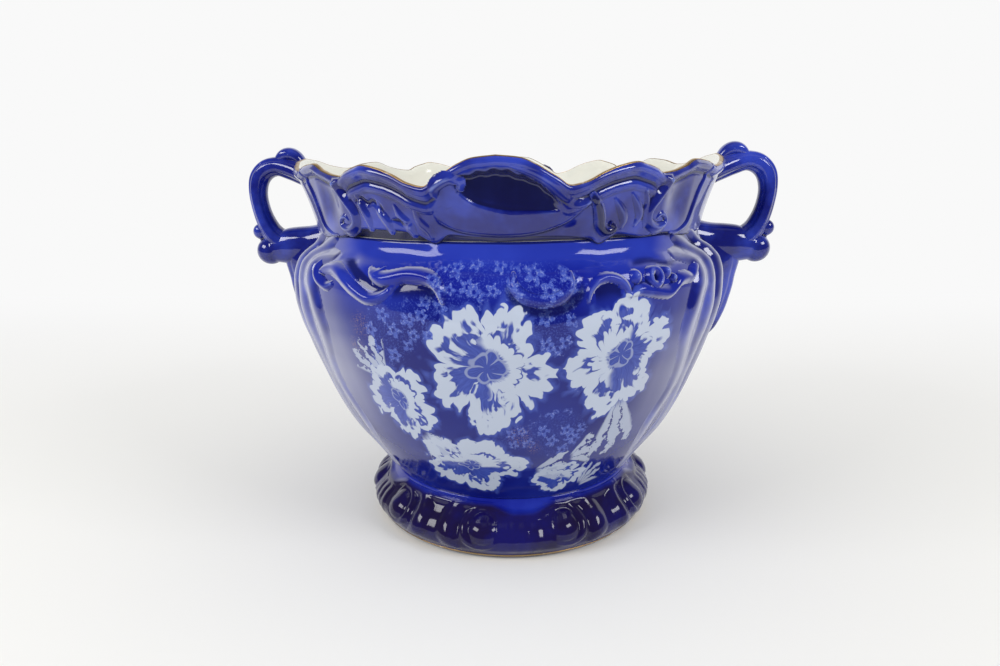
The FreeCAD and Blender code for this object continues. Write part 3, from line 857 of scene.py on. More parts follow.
def add(tree, kind, feeds=None, out=0, **settings):
    """Add a node, with its settings and what feeds its sockets, and take one output."""
    node = tree.nodes.new("ShaderNode" + kind)
    for name, value in settings.items():
        setattr(node, name, value)
    for socket, value in (feeds or {}).items():
        feed(node.inputs[socket], value)
    return Wire(tree, node.outputs[out])


def tree_of(values):
    """The tree of the first wire among some values."""
    return next(value.tree for value in values if isinstance(value, Wire))


def calc(operation, *values):
    """One sum on values over the surface."""
    return add(tree_of(values), "Math", dict(enumerate(values)), operation=operation)


def vector(operation, *values, out=0):
    """One sum on vectors over the surface."""
    return add(tree_of(values), "VectorMath", dict(enumerate(values)), out, operation=operation)


def joined(*values):
    """A vector of three values."""
    return add(tree_of(values), "CombineXYZ", dict(enumerate(values)))


def parted(place):
    """The three values of a vector."""
    first = add(place.tree, "SeparateXYZ", {0: place})
    return first, first.also("Y"), first.also("Z")


def between(value, low, high):
    """Rises smoothly from 0 at one value to 1 at another."""
    return add(value.tree, "MapRange", {0: value, 1: low, 2: high}, interpolation_type="SMOOTHSTEP")


def mixed(tree, share, first, second):
    """One colour run into another by a share."""
    return add(tree, "Mix", {0: share, 6: first, 7: second}, 2, data_type="RGBA")


def noise(place, scale, detail=3.0, roughness=0.55, out=0):
    """Soft random values over a place."""
    return add(place.tree, "TexNoise", {"Vector": place, "Scale": scale, "Detail": detail,
                                        "Roughness": roughness}, out)


def shake(place, scale, detail, reach):
    """Soft random shifts over a place, as far as a reach."""
    shift = vector("SUBTRACT", noise(place, scale, detail, out="Color"), (0.5, 0.5, 0.5))
    return vector("MULTIPLY", shift, (reach, reach, reach))


def object_place(tree):
    """The place on the piece."""
    return add(tree, "TexCoord", out="Object")


def group(name, ins, outs):
    """A shader node group with named inputs and outputs, and its two ends."""
    tree = bpy.data.node_groups.new(name, "ShaderNodeTree")
    kinds = {float: "NodeSocketFloat", tuple: "NodeSocketVector"}
    for socket, value in ins:
        made = tree.interface.new_socket(name=socket, in_out="INPUT", socket_type=kinds[type(value)])
        made.default_value = value
    for socket, value in outs:
        tree.interface.new_socket(name=socket, in_out="OUTPUT", socket_type=kinds[type(value)])
    given = {socket.name: Wire(tree, socket) for socket in tree.nodes.new("NodeGroupInput").outputs}
    return tree, given, tree.nodes.new("NodeGroupOutput").inputs


def use(tree, name, **values):
    """Place a group in a tree with its own values, underscores standing for spaces."""
    node = tree.nodes.new("ShaderNodeGroup")
    node.node_tree = bpy.data.node_groups[name]
    for socket, value in values.items():
        feed(node.inputs[socket.replace("_", " ")], value)
    return {socket.name: Wire(tree, socket) for socket in node.outputs}


def wall_place_group():
    """Millimetres round the wall and up it, the back repeating the front."""
    tree, ins, outs = group("wall_place", [("Girth", BULB_RADIUS)], [("Place", (0.0,))])
    right, back, up = parted(object_place(tree))
    flip = 1.0 - calc("GREATER_THAN", back, 0.0) * 2.0
    turn = calc("ARCTAN2", right * flip, back * flip * -1.0)
    feed(outs["Place"], joined(turn * ins["Girth"], up / MM, 0.0))


PRINT_SOCKETS = [("Place", (0.0, 0.0, 0.0)), ("Across", 0.0), ("Up", 0.0), ("Seed", 0.0)]
SIZE_SOCKETS = [("Half Width", 25.0), ("Half Height", 30.0)]


def from_centre(ins):
    """The place on the wall, counted from the middle of a printed motif."""
    return vector("SUBTRACT", ins["Place"], joined(ins["Across"], ins["Up"], 0.0))


def in_halves(ins, local):
    """A place counted in half widths and half heights of a motif."""
    return vector("DIVIDE", local, joined(ins["Half Width"], ins["Half Height"], 1.0))


def turned(local, angle):
    """A place turned about the motif's middle."""
    return add(local.tree, "VectorRotate", {"Vector": local, "Angle": angle}, rotation_type="Z_AXIS")


def angle_of(local):
    """The angle of a place round the motif's middle."""
    across, up, _ = parted(local)
    return calc("ARCTAN2", up, across)


def flower_group():
    """A ragged printed flower: white petals hatched toward a drawn seed head."""
    _, ins, outs = group(
        "ragged_bloom",
        PRINT_SOCKETS + SIZE_SOCKETS + [("Lean", 0.0), ("Petals", 6.0), ("Lobes", 23.0),
                                        ("Inner Turn", 0.0), ("Heart", 0.22)],
        [("White", 0.0), ("Tint", 0.0), ("Line", 0.0)])
    local = turned(in_halves(ins, from_centre(ins)), ins["Lean"])
    seeded = vector("ADD", local, joined(0.0, 0.0, ins["Seed"]))
    bent = vector("MULTIPLY", vector("ADD", local, shake(seeded, 1.5, 0.5, 0.36)), (1.0, 1.0, 0.0))
    reach = vector("LENGTH", bent, out="Value")
    turn = angle_of(bent)
    rough = noise(seeded, 2.8, 1.0, 0.5) - 0.5
    petal = calc("POWER", calc("ABSOLUTE", calc("COSINE", turn * ins["Petals"] * 0.5)), 0.45)
    lobe = calc("ABSOLUTE", calc("COSINE", turn * ins["Lobes"] * 0.5 + rough * 2.4))
    inside = 0.56 + petal * 0.28 + lobe * 0.095 + rough * 0.34 - reach
    streak = noise(joined(turn * 5.0, reach * 1.6, ins["Seed"]), 2.6, 2.0, 0.6) - 0.5
    depth = calc("MAXIMUM", 0.25 + streak * 0.24 - rough * 0.5, 0.15)
    petals = between(inside, 0.0, 0.022) * (1.0 - between(inside, depth, depth + 0.08))
    ring = between(0.42 + rough * 0.4 + lobe * 0.09 - reach, 0.0, 0.03)
    ring = ring * between(reach - (ins["Heart"] + streak * 0.12 + 0.03), 0.0, 0.06)
    ring = ring * between(calc("COSINE", turn - ins["Inner Turn"]), -0.25, 0.1)
    spoke = calc("ABSOLUTE", calc("SINE", turn * 3.0))
    spokes = (1.0 - between(spoke, 0.12, 0.35)) * between(reach, 0.04, 0.08)
    rim = 1.0 - between(calc("ABSOLUTE", reach - (ins["Heart"] + spoke * 0.05)), 0.01, 0.03)
    feed(outs["White"], calc("MAXIMUM", petals, ring))
    feed(outs["Tint"], between(inside, -0.14, 0.02) * (streak + 0.55))
    feed(outs["Line"], calc("MAXIMUM", rim, spokes * calc("LESS_THAN", reach, ins["Heart"])))


def fan_group():
    """A fan of narrow printed leaves spreading from a stem."""
    _, ins, outs = group(
        "leaf_fan",
        PRINT_SOCKETS + [("Reach", 22.0), ("Facing", -1.57), ("Spread", 0.9), ("Leaves", 11.0)],
        [("White", 0.0)])
    local = from_centre(ins)
    rough = noise(vector("ADD", local, joined(0.0, 0.0, ins["Seed"])), 0.25) - 0.5
    turn = angle_of(turned(local, ins["Facing"] * -1.0))
    reach = vector("LENGTH", local, out="Value") / ins["Reach"]
    leaf = calc("ABSOLUTE", calc("COSINE", turn * ins["Leaves"] + rough * 5.0))
    blade = between(leaf * 0.55 + rough * 0.5 + 0.48 - reach, 0.0, 0.06)
    split = between(leaf - reach * 0.5, -0.1, 0.12)
    window = between(ins["Spread"] - calc("ABSOLUTE", turn), 0.0, 0.1)
    feed(outs["White"], blade * split * window * between(reach, 0.12, 0.3))


def sprig_group():
    """Small five-petalled printed flowers scattered over an oval patch."""
    tree, ins, outs = group("small_sprigs", PRINT_SOCKETS + SIZE_SOCKETS + [("Flower", 0.12)],
                            [("White", 0.0), ("Haze", 0.0)])
    local = from_centre(ins)
    seeded = vector("ADD", local, joined(ins["Seed"], ins["Seed"], 0.0))
    away = add(tree, "TexVoronoi", {"Vector": seeded, "Scale": ins["Flower"], "Randomness": 0.8},
               "Distance", voronoi_dimensions="2D")
    turn = angle_of(vector("SUBTRACT", seeded, away.also("Position")))
    rough = noise(seeded, 0.5) - 0.5
    petal = calc("COSINE", turn * 5.0 + rough * 6.0)
    flower = between(0.36 + petal * 0.1 + rough * 0.45 - away, 0.0, 0.08)
    far = vector("LENGTH", in_halves(ins, local), out="Value") + rough * 0.8
    window = 1.0 - between(far, 0.8, 1.05)
    feed(outs["White"], flower * between(away, 0.07, 0.15) * window)
    feed(outs["Haze"], window)


def pooled_group():
    """Glaze that breaks lighter and pools darker in soft clouds, finely dimpled."""
    tree, ins, outs = group("pooled_glaze", [("Cloud Size", 26.0)],
                            [("Thinness", 0.0), ("Dimple", 0.0)])
    spot = object_place(tree)
    feed(outs["Thinness"], between(noise(spot, ins["Cloud Size"], 3.0, 0.6), 0.35, 0.72))
    feed(outs["Dimple"], noise(spot, 150.0, 2.0, 0.5))


def depth_group():
    """Masks of the ridges that the glaze runs off and of the hollows, where it pools and where painted
    shade is laid.
    """
    tree, ins, outs = group(
        "glaze_depth",
        [("Ridge From", 0.2), ("Ridge To", 0.55), ("Hollow From", 0.05), ("Hollow To", 0.3)],
        [("Ridge", 0.0), ("Hollow", 0.0)])
    # The bend record holds painted shade as well as the surface's bend
    bend = add(tree, "Attribute", out="Fac", attribute_name="bend")
    waver = (noise(object_place(tree), 120.0) - 0.5) * 0.1
    feed(outs["Ridge"], between(bend + waver, ins["Ridge From"], ins["Ridge To"]))
    feed(outs["Hollow"], between(waver - bend, ins["Hollow From"], ins["Hollow To"]))


class PlanterColours(bpy.types.PropertyGroup):
    """Colours and gloss of the glazes and the gilding."""

    deep: bpy.props.FloatVectorProperty(
        name="Deep cobalt", description="Cobalt glaze where it lies thick", subtype="COLOR",
        size=4, min=0, max=1, default=srgb(16, 27, 140))
    thin: bpy.props.FloatVectorProperty(
        name="Thin cobalt", description="Cobalt glaze where it breaks over edges",
        subtype="COLOR", size=4, min=0, max=1, default=srgb(56, 80, 206))
    ridge: bpy.props.FloatVectorProperty(
        name="Ridge glaze", description="Pale blue of the glaze where it runs off the ridges",
        subtype="COLOR", size=4, min=0, max=1, default=srgb(112, 130, 205))
    # Pool: the glaze pooled in hollows, and also the colour of the painted shade in the recesses and
    # under the collar's skirt
    pool: bpy.props.FloatVectorProperty(
        name="Pooled glaze", description="Navy of the glaze where it pools in the hollows",
        subtype="COLOR", size=4, min=0, max=1, default=srgb(7, 10, 66))
    # Sheen: the grey lavender of a painted reflection, laid where the glaze turns away
    sheen: bpy.props.FloatVectorProperty(
        name="Sheen", description="Grey lavender bloom of the glaze where it turns away",
        subtype="COLOR", size=4, min=0, max=1, default=srgb(178, 180, 200))
    print_white: bpy.props.FloatVectorProperty(
        name="Print white", description="Bare white of the printed flowers", subtype="COLOR",
        size=4, min=0, max=1, default=srgb(185, 195, 214))
    print_blue: bpy.props.FloatVectorProperty(
        name="Print blue", description="Middle blue of the printed leaves and haze",
        subtype="COLOR", size=4, min=0, max=1, default=srgb(84, 108, 204))
    foot_dark: bpy.props.FloatVectorProperty(
        name="Foot glaze", description="Near black glaze of the foot", subtype="COLOR",
        size=4, min=0, max=1, default=srgb(24, 14, 58))
    inside: bpy.props.FloatVectorProperty(
        name="Inside glaze", description="Cream white glaze inside the pot", subtype="COLOR",
        size=4, min=0, max=1, default=srgb(233, 232, 222))
    gold: bpy.props.FloatVectorProperty(
        name="Gold", description="Worn gilding", subtype="COLOR",
        size=4, min=0, max=1, default=srgb(178, 146, 96))
    gloss: bpy.props.FloatProperty(
        name="Glaze index", description="Refractive index of the outer glaze",
        min=1.3, max=2.5, default=1.62)


class PlanterSizes(bpy.types.PropertyGroup):
    """Sizes of the walls and their finish that the frame doesn't give."""

    bowl_wall: bpy.props.FloatProperty(
        name="Bowl wall", description="Thickness of the bowl, in millimetres", default=4.6, min=2, max=9)
    lip_wall: bpy.props.FloatProperty(
        name="Lip wall", description="Thickness of the collar, in millimetres", default=4.4, min=2, max=9)
    foot_wall: bpy.props.FloatProperty(
        name="Foot wall", description="Thickness of the foot, in millimetres", default=6.5, min=3, max=12)
    wall_steps: bpy.props.IntProperty(
        name="Wall steps", description="Steps round the bowl", default=560, min=60, max=800)
    collar_steps: bpy.props.IntProperty(
        name="Collar steps", description="Steps round the collar", default=880, min=60, max=900)
    cell: bpy.props.FloatProperty(
        name="Ornament cell", description="Mesh size of the ornament, in millimetres",
        default=0.5, min=0.2, max=3)


class StudioSettings(bpy.types.PropertyGroup):
    """Floor, light and camera."""

    floor: bpy.props.FloatVectorProperty(
        name="Floor", description="Colour of the floor and backdrop", subtype="COLOR",
        size=4, min=0, max=1, default=srgb(240, 240, 238))
    lens: bpy.props.FloatProperty(
        name="Lens", description="Focal length of the camera, in millimetres", default=25.2, min=10,
        max=200)
    room: bpy.props.FloatProperty(
        name="Room light", description="Strength of the light from all round", default=0.81, min=0,
        max=2)
    lamp: bpy.props.FloatProperty(
        name="Lamp power", description="Power of the overhead soft lamp, in watts", default=3.6,
        min=0, max=200)


def shader(name):
    """A new material's nodes and its shader, ready to be wired."""
    material = bpy.data.materials.new(name)
    material.use_nodes = True
    return material.node_tree, material.node_tree.nodes["Principled BSDF"]


def plain_gloss(body, roughness, index):
    """Set a glaze's own gloss."""
    body.inputs["Roughness"].default_value = roughness
    body.inputs["IOR"].default_value = index


def bump(tree, body, height, strength, distance):
    """Fine relief of a surface."""
    feed(body.inputs["Normal"], add(tree, "Bump", {"Height": height, "Strength": strength,
                                                   "Distance": distance * MM}))


def run_glaze(tree, colour, colours, share=1.0):
    """Glaze run pale off the ridges and pooled dark in the hollows, the dark also carrying painted shade.
    """
    depth = use(tree, "glaze_depth")
    colour = mixed(tree, depth["Hollow"] * (0.9 * share), colour, colours.pool)
    return mixed(tree, depth["Ridge"] * (0.8 * share), colour, colours.ridge)


def add_painted_sheen(tree, colour, colours, share, start=0.36):
    """Painted sheen: a pale painted reflection where the glaze turns away from the eye, none in the
    hollows.
    """
    facing = add(tree, "LayerWeight", {"Blend": 0.5}, "Facing")
    depth = use(tree, "glaze_depth")
    painted_sheen = between(facing, start, start + 0.5) * share * (1.0 - depth["Hollow"])
    return mixed(tree, painted_sheen, colour, colours.sheen)


def make_cobalt(name, colours, painted_sheen, start):
    """Plain cobalt glaze, pooled dark in the hollows, which also carry painted shade, with a painted
    sheen where it turns away.
    """
    tree, body = shader(name)
    glaze = use(tree, "pooled_glaze", Cloud_Size=42.0)
    thick = mixed(tree, 0.45, colours.deep, colours.pool)
    colour = run_glaze(tree, mixed(tree, glaze["Thinness"] * 0.6, thick, colours.thin), colours)
    feed(body.inputs["Base Color"], add_painted_sheen(tree, colour, colours, painted_sheen, start))
    plain_gloss(body, 0.07, colours.gloss)
    bump(tree, body, glaze["Dimple"], 0.05, 0.6)


PRINT_INDEX = 1.42
FOOT_INDEX = 1.44
# The printed flowers: degrees right of the front, height, half width, half height, lean,
# petals, lobes, inner ring's turn, heart, seed
BLOOMS = [(-2.6, 115.0, 33.0, 36.0, 0.25, 5.0, 25.0, 0.4, 0.2, 3.1),
          (28.2, 118.0, 31.0, 33.0, -0.3, 6.0, 24.0, 2.6, 0.18, 11.7),
          (-27.0, 94.0, 24.0, 23.5, 0.5, 5.0, 18.0, 0.7, 0.17, 7.4),
          (-10.4, 57.0, 38.0, 21.0, 0.1, 5.0, 19.0, 1.57, 0.15, 21.3),
          (20.0, 46.0, 24.0, 13.0, 0.2, 4.0, 13.0, 1.2, 0.12, 33.8)]
BLOOM_COLUMNS = ("Up", "Half_Width", "Half_Height", "Lean", "Petals", "Lobes", "Inner_Turn",
                 "Heart", "Seed")
# The fans of leaves: degrees, height, reach, facing, spread, leaves, seed
FANS = [(31.0, 100.0, 42.0, -1.35, 0.5, 9.0, 2.0), (-24.0, 78.0, 26.0, -0.9, 0.7, 8.0, 5.0),
        (-28.5, 104.0, 24.0, 2.2, 0.8, 8.0, 8.0), (9.0, 52.0, 26.0, 0.15, 0.6, 8.0, 4.0),
        (20.0, 60.0, 20.0, 0.35, 0.7, 6.0, 9.0), (30.0, 34.0, 20.0, 1.0, 0.9, 8.0, 6.0)]
FAN_COLUMNS = ("Up", "Reach", "Facing", "Spread", "Leaves", "Seed")
# The small sprigs: degrees, height, half width, half height, flowers to a millimetre, seed
SPRIGS = [(-9.0, 149.0, 14.0, 10.0, 0.1, 1.0), (10.0, 151.0, 18.0, 12.0, 0.085, 6.0),
          (-25.5, 130.0, 15.0, 16.0, 0.1, 3.0), (15.0, 78.0, 18.0, 15.0, 0.1, 9.0),
          (-4.0, 156.0, 26.0, 8.0, 0.12, 14.0), (12.0, 134.0, 11.0, 13.0, 0.11, 17.0),
          (4.0, 77.0, 10.0, 8.0, 0.13, 23.0), (-17.0, 138.0, 11.0, 12.0, 0.12, 27.0)]
SPRIG_COLUMNS = ("Up", "Half_Width", "Half_Height", "Flower", "Seed")
# Rubbed specks of gilding: degrees, height, reach
GILT_SPECKS = [(-33.3, 132.0, 9.0), (-36.0, 121.0, 7.0), (4.9, 77.0, 9.0), (9.0, 70.0, 6.0)]
# Millimetres round the bulb to a degree
DEGREE = math.radians(BULB_RADIUS)


def highest_of(tree, place, motif, columns, rows):
    """The outputs of a printed motif, each the highest over all its places."""
    highest = {}
    for at, *row in rows:
        made = use(tree, motif, Place=place, Across=at * DEGREE, **dict(zip(columns, row)))
        for name, value in made.items():
            highest[name] = calc("MAXIMUM", highest.get(name, 0.0), value)
    return highest


def ground_glaze(tree, height, thinness, colours):
    """The printed wall's own glaze, darker on the belly and paler under the neck."""
    colour = mixed(tree, thinness * 0.4, colours.deep, colours.thin)
    low = 1.0 - between(height, 132.0, 158.0)
    colour = mixed(tree, low * 0.48, colour, colours.pool)
    return mixed(tree, between(height, 156.0, 165.0) * 0.35, colour, colours.thin)


def gilt_specks(tree, place, colour, colours):
    """Specks of worn gilding strewn on the print."""
    grain = between(noise(place, 1.9, 2.0, 0.6), 0.56, 0.66)
    for at, up, reach in GILT_SPECKS:
        away = vector("LENGTH", vector("SUBTRACT", place, (at * DEGREE, up, 0.0)), out="Value")
        near = 1.0 - between(away, 0.3 * reach, reach)
        colour = mixed(tree, grain * (near * 0.6), colour, colours.gold)
    return colour


def make_printed(colours):
    """Cobalt glaze over a blurred print of ragged white flowers, with painted shade in the hollows and a
    painted sheen where it turns away.
    """
    tree, body = shader("flow_print")
    place = use(tree, "wall_place")["Place"]
    place = vector("ADD", place, shake(place, 0.09, 1.0, 1.8))
    blooms = highest_of(tree, place, "ragged_bloom", BLOOM_COLUMNS, BLOOMS)
    fans = highest_of(tree, place, "leaf_fan", FAN_COLUMNS, FANS)
    sprigs = highest_of(tree, place, "small_sprigs", SPRIG_COLUMNS, SPRIGS)
    white = calc("MAXIMUM", blooms["White"], fans["White"] * 0.8)
    glaze = use(tree, "pooled_glaze", Cloud_Size=18.0)
    height = parted(place)[1]
    colour = ground_glaze(tree, height, glaze["Thinness"], colours)
    stipple = between(noise(place, 1.1, 3.0, 0.7), 0.5, 0.66)
    for share, shade in ((blooms["Tint"] * 0.75, colours.print_blue),
                         (sprigs["Haze"] * stipple * 0.35, colours.print_blue),
                         (sprigs["White"] * 0.55, colours.print_blue),
                         (sprigs["White"] * stipple * 0.35, colours.print_white)):
        colour = mixed(tree, share, colour, shade)
    colour = gilt_specks(tree, place, colour, colours)
    colour = run_glaze(tree, colour, colours, 0.85)
    colour = mixed(tree, white, colour, colours.print_white)
    colour = mixed(tree, blooms["Line"] * 0.45, colour, colours.print_white)
    # Painted sheen where the wall turns away, fading out toward the bottom of the bowl
    feed(body.inputs["Base Color"], add_painted_sheen(tree, colour, colours, between(height, 50.0, 110.0)))
    plain_gloss(body, 0.07, PRINT_INDEX)
    bump(tree, body, glaze["Dimple"], 0.05, 0.6)


def make_foot_glaze(colours):
    """The foot's near black glaze, with a faint painted sheen for its bronze lustre where it turns away.
    """
    tree, body = shader("foot_lustre")
    glaze = use(tree, "pooled_glaze", Cloud_Size=40.0)
    dark = mixed(tree, glaze["Thinness"] * 0.3, colours.foot_dark, colours.deep)
    blue = mixed(tree, glaze["Thinness"] * 0.3, colours.deep, colours.thin)
    band = add(tree, "Attribute", out="Fac", attribute_name="dark")
    colour = run_glaze(tree, mixed(tree, band, blue, dark), colours, 0.3)
    feed(body.inputs["Base Color"], add_painted_sheen(tree, colour, colours, 0.12))
    plain_gloss(body, 0.09, FOOT_INDEX)
    bump(tree, body, glaze["Dimple"], 0.06, 0.6)


def make_inside(colours):
    """The cream white glaze of the inside."""
    tree, body = shader("cream_lining")
    glaze = use(tree, "pooled_glaze", Cloud_Size=14.0)
    colour = mixed(tree, glaze["Thinness"], colours.inside, srgb(224, 226, 220))
    feed(body.inputs["Base Color"], colour)
    plain_gloss(body, 0.1, 1.6)
    bump(tree, body, glaze["Dimple"], 0.04, 0.6)


def make_gilding(colours):
    """Thin gold, rubbed through to the glaze in places."""
    tree, body = shader("worn_gold")
    spot = object_place(tree)
    rubbed = between(noise(spot, 60.0, 4.0, 0.65), 0.55, 0.66)
    colour = mixed(tree, rubbed * 0.7, colours.gold, srgb(214, 206, 196))
    feed(body.inputs["Base Color"], colour)
    feed(body.inputs["Metallic"], 0.85 - rubbed * 0.7)
    plain_gloss(body, 0.28, 1.5)
    bump(tree, body, noise(spot, 400.0, 2.0), 0.1, 0.3)


class PLANTER_OT_finishes(bpy.types.Operator):
    """Make the glazes and the gilding"""

    bl_idname = "planter.finishes"
    bl_label = "Finishes"

    def execute(self, context):
        colours = context.scene.planter_colours
        for make in (wall_place_group, flower_group, fan_group, sprig_group, pooled_group, depth_group):
            make()
        # Both cobalts have a painted sheen where they turn away, the second a stronger one from a wider
        # angle, for the side folds
        make_cobalt("deep_cobalt", colours, 0.35, 0.36)
        make_cobalt("cobalt_strong_painted_sheen", colours, 0.8, 0.2)
        for make in (make_printed, make_foot_glaze, make_inside, make_gilding):
            make(colours)
        return {"FINISHED"}


def finish(name):
    """A finish by its name."""
    return bpy.data.materials[name]


def line_faces(piece, inner):
    """Give the faces whose every corner is an inner point the second finish."""
    corners = [0] * len(piece.data.polygons)
    for index, face in enumerate(piece.data.polygons):
        corners[index] = int(all(inner[corner] for corner in face.vertices))
    piece.data.polygons.foreach_set("material_index", corners)


BOWL_ROWS = 108
LINING_ROWS = 36


class PLANTER_OT_bowl(bpy.types.Operator):
    """Spin the swelling bowl with its floor and cream inside"""

    bl_idname = "planter.bowl"
    bl_label = "Bowl"

    def execute(self, context):
        sizes = context.scene.planter_sizes
        floor = WAIST_HEIGHT + FLOOR_RISE
        rise = np.linspace(0, 1, BOWL_ROWS)
        outer = [(float(belly_curve(up)), float(up)) for up in WAIST_HEIGHT + (
            NECK_HEIGHT - WAIST_HEIGHT) * rise]
        inner = [(float(belly_curve(up)) - sizes.bowl_wall, float(up))
                 for up in np.linspace(NECK_HEIGHT, floor + 1.5, LINING_ROWS)]
        base = [(0.0, WAIST_HEIGHT), (30.0, WAIST_HEIGHT), (60.0, WAIST_HEIGHT)]
        pan = [(inner[-1][0] - 1.6, floor), (48.0, floor), (24.0, floor), (0.0, floor)]
        outline = base + outer + inner + pan
        bowl = spun("bowl_body", outline, sizes.wall_steps)
        row, azimuth = rows_of(bowl, outline)
        places = points_of(bowl) * MM
        skin = (row >= len(base)) & (row < len(base) + len(outer))
        heights = places[skin, 2] / MM
        lift = bowl_broad(azimuth[skin], heights)
        places[skin] = place_on(lambda turn, up: belly_curve(up), azimuth[skin], heights, lift)
        move_points(bowl, places)
        # Painted shade: the hollows and grooves under the shoulder's arches painted darker, a little
        # lighter about the neck, and a painted shadow along the top rows under the collar's skirt
        painted_shade = np.zeros(len(places))
        painted_shade[skin] = shoulder_hollows(azimuth[skin], heights) * 7 * PAINTED_SHADE_TONE
        painted_shade[skin] += 0.14 * hump(heights, 162, 8) - (heights > NECK_HEIGHT - 1.2)
        mark_bends(bowl, painted_shade)
        settle(bowl, [finish("flow_print"), finish("cream_lining")], "bowl")
        line_faces(bowl, row >= len(base) + len(outer) - 1)
        return {"FINISHED"}


# Rows of points up the collar: its hem, its outside and its inside
HEM_ROWS = 3
COLLAR_ROWS = 66
INNER_ROWS = 18
# The turns of the lip's rows over its crown, the first of them with the outer glaze
LIP_TURNS = [12, 35, 60, 80, 100, 120, 145, 168]
GLAZED_TURNS = 4
LIP_CROWN = 1.7


def lip_point(azimuth, angle, wall, lift=0.0):
    """Radius and height on the rounded crown of the lip."""
    crest = crest_height(azimuth)
    outer = collar_radius(azimuth, crest) + 0.35
    turn = math.radians(angle)
    radius = outer - wall / 2 + (wall / 2 + lift) * math.cos(turn)
    return radius, crest - LIP_CROWN + (LIP_CROWN + lift) * math.sin(turn)


class PLANTER_OT_collar(bpy.types.Operator):
    """Spin the flared collar and shape its scalloped, rolled lip"""

    bl_idname = "planter.collar"
    bl_label = "Collar"

    def execute(self, context):
        sizes = context.scene.planter_sizes
        share = np.linspace(0, 1, COLLAR_ROWS)
        outline = [(NECK_RADIUS, NECK_HEIGHT - 1), (NECK_RADIUS + 1, NECK_HEIGHT - 1),
                   (NECK_RADIUS + 2, NECK_HEIGHT - 0.5)]
        outline += [(NECK_RADIUS + 3, NECK_HEIGHT + 30 * up) for up in share]
        outline += [(NECK_RADIUS + 2 - 0.5 * step, NECK_HEIGHT + 32) for step in range(len(LIP_TURNS))]
        outline += [(NECK_RADIUS - 3, NECK_HEIGHT + 30 - 1.7 * step) for step in range(INNER_ROWS)]
        outline.append(outline[0])
        collar = spun("collar_skin", outline, sizes.collar_steps)
        row, azimuth = rows_of(collar, outline[:-1])
        crest, skirt = crest_height(azimuth), skirt_height(azimuth)
        places = points_of(collar) * MM
        painted_shade = np.zeros(len(places))
        wall = sizes.lip_wall
        here = row == 0
        places[here] = at_radius(NECK_RADIUS - 1.8, azimuth[here], NECK_HEIGHT - 0.6)
        for index, (out, drop) in enumerate([(0.15, -0.6), (1.5, -0.3)]):
            here = row == 1 + index
            step = 0.1 + (out - 0.1) * skirted(azimuth[here])
            places[here] = at_radius(NECK_RADIUS + step, azimuth[here], skirt[here] + drop)
        first = HEM_ROWS
        for index, up in enumerate(share):
            here = row == first + index
            top = crest[here] - LIP_CROWN
            height = skirt[here] + (top - skirt[here]) * up
            lift = collar_broad(azimuth[here], height)
            scooped = recess_depth(azimuth[here], height)
            # Painted shade in the collar's sunken leaf, lobe and clefts, and deeper in the scooped shell
            # under the lip
            painted_shade[here] = (np.minimum(lift, 0) - 2 * scooped) * PAINTED_SHADE_TONE
            lift -= 0.5 * hump(height, skirt[here], 1.2) * skirted(azimuth[here])
            places[here] = place_on(collar_radius, azimuth[here], height, lift)
            places[here] -= at_radius(scooped, azimuth[here], 0)
        first += COLLAR_ROWS
        for index, angle in enumerate(LIP_TURNS):
            here = row == first + index
            radius, height = lip_point(azimuth[here], angle, wall)
            places[here] = at_radius(radius, azimuth[here], height)
        first += len(LIP_TURNS)
        for index in range(INNER_ROWS):
            here = row == first + index
            down = (index + 1) / INNER_ROWS
            top = crest[here] - LIP_CROWN
            height = top + (NECK_HEIGHT - top) * down
            radius = collar_radius(azimuth[here], height) - wall - skirted(azimuth[here]) * (
                section_proud((height - NECK_HEIGHT) / (crest[here] - NECK_HEIGHT)))
            radius -= np.maximum(0, recess_depth(azimuth[here], height) - wall + 2.4)
            places[here] = at_radius(radius, azimuth[here], height)
        move_points(collar, places)
        # Painted shadow: the hem under the collar's skirt is painted dark
        painted_shade[row <= HEM_ROWS] = -1
        mark_bends(collar, painted_shade)
        settle(collar, [finish("deep_cobalt"), finish("cream_lining")], "rim_collar")
        line_faces(collar, (row >= HEM_ROWS + COLLAR_ROWS + GLAZED_TURNS) | (row == 0))
        return {"FINISHED"}


FOOT_STEPS = 360
FOOT_BAND = (2.6, 28.5)
FOOT_CELL = 0.62


class PLANTER_OT_foot(bpy.types.Operator):
    """Spin the spreading foot and lay its bosses, scrolls and flutes"""

    bl_idname = "planter.foot"
    bl_label = "Foot"

    def execute(self, context):
        sizes = context.scene.planter_sizes
        outer = [(float(foot_curve(up)), float(up)) for up in np.linspace(0, WAIST_HEIGHT, 34)]
        inner = [(radius - sizes.foot_wall, up) for radius, up in reversed(outer[::3])]
        rest = [(FOOT_RADIUS - 5.2, 0.0), (FOOT_RADIUS - 1.2, 0.0)]
        outline = outer[1:] + inner[:-1] + rest
        outline.append(outline[0])
        foot = spun("foot_ring", outline, FOOT_STEPS)
        mark_band(foot)
        row, _ = rows_of(foot, outline[:-1])
        settle(foot, [finish("foot_lustre"), finish("cream_lining")], "foot")
        line_faces(foot, (row >= len(outer) - 1) & (row < len(outer) - 1 + len(inner)))
        scrolls = patch("foot_moulding", lambda turn, up: foot_curve(up), lambda turn, up: 0 * up,
                        foot_fine, (-180, 180), FOOT_BAND, FOOT_CELL)
        mark_band(scrolls)
        settle(scrolls, [finish("foot_lustre")], "foot_scrolls")
        return {"FINISHED"}


def bowl_radius(azimuth, height):
    """The bowl's outer radius before its ornament."""
    return belly_curve(height) + 0 * np.asarray(azimuth, float)


QUARTERS = ("front_right", "front_left", "back_right", "back_left")


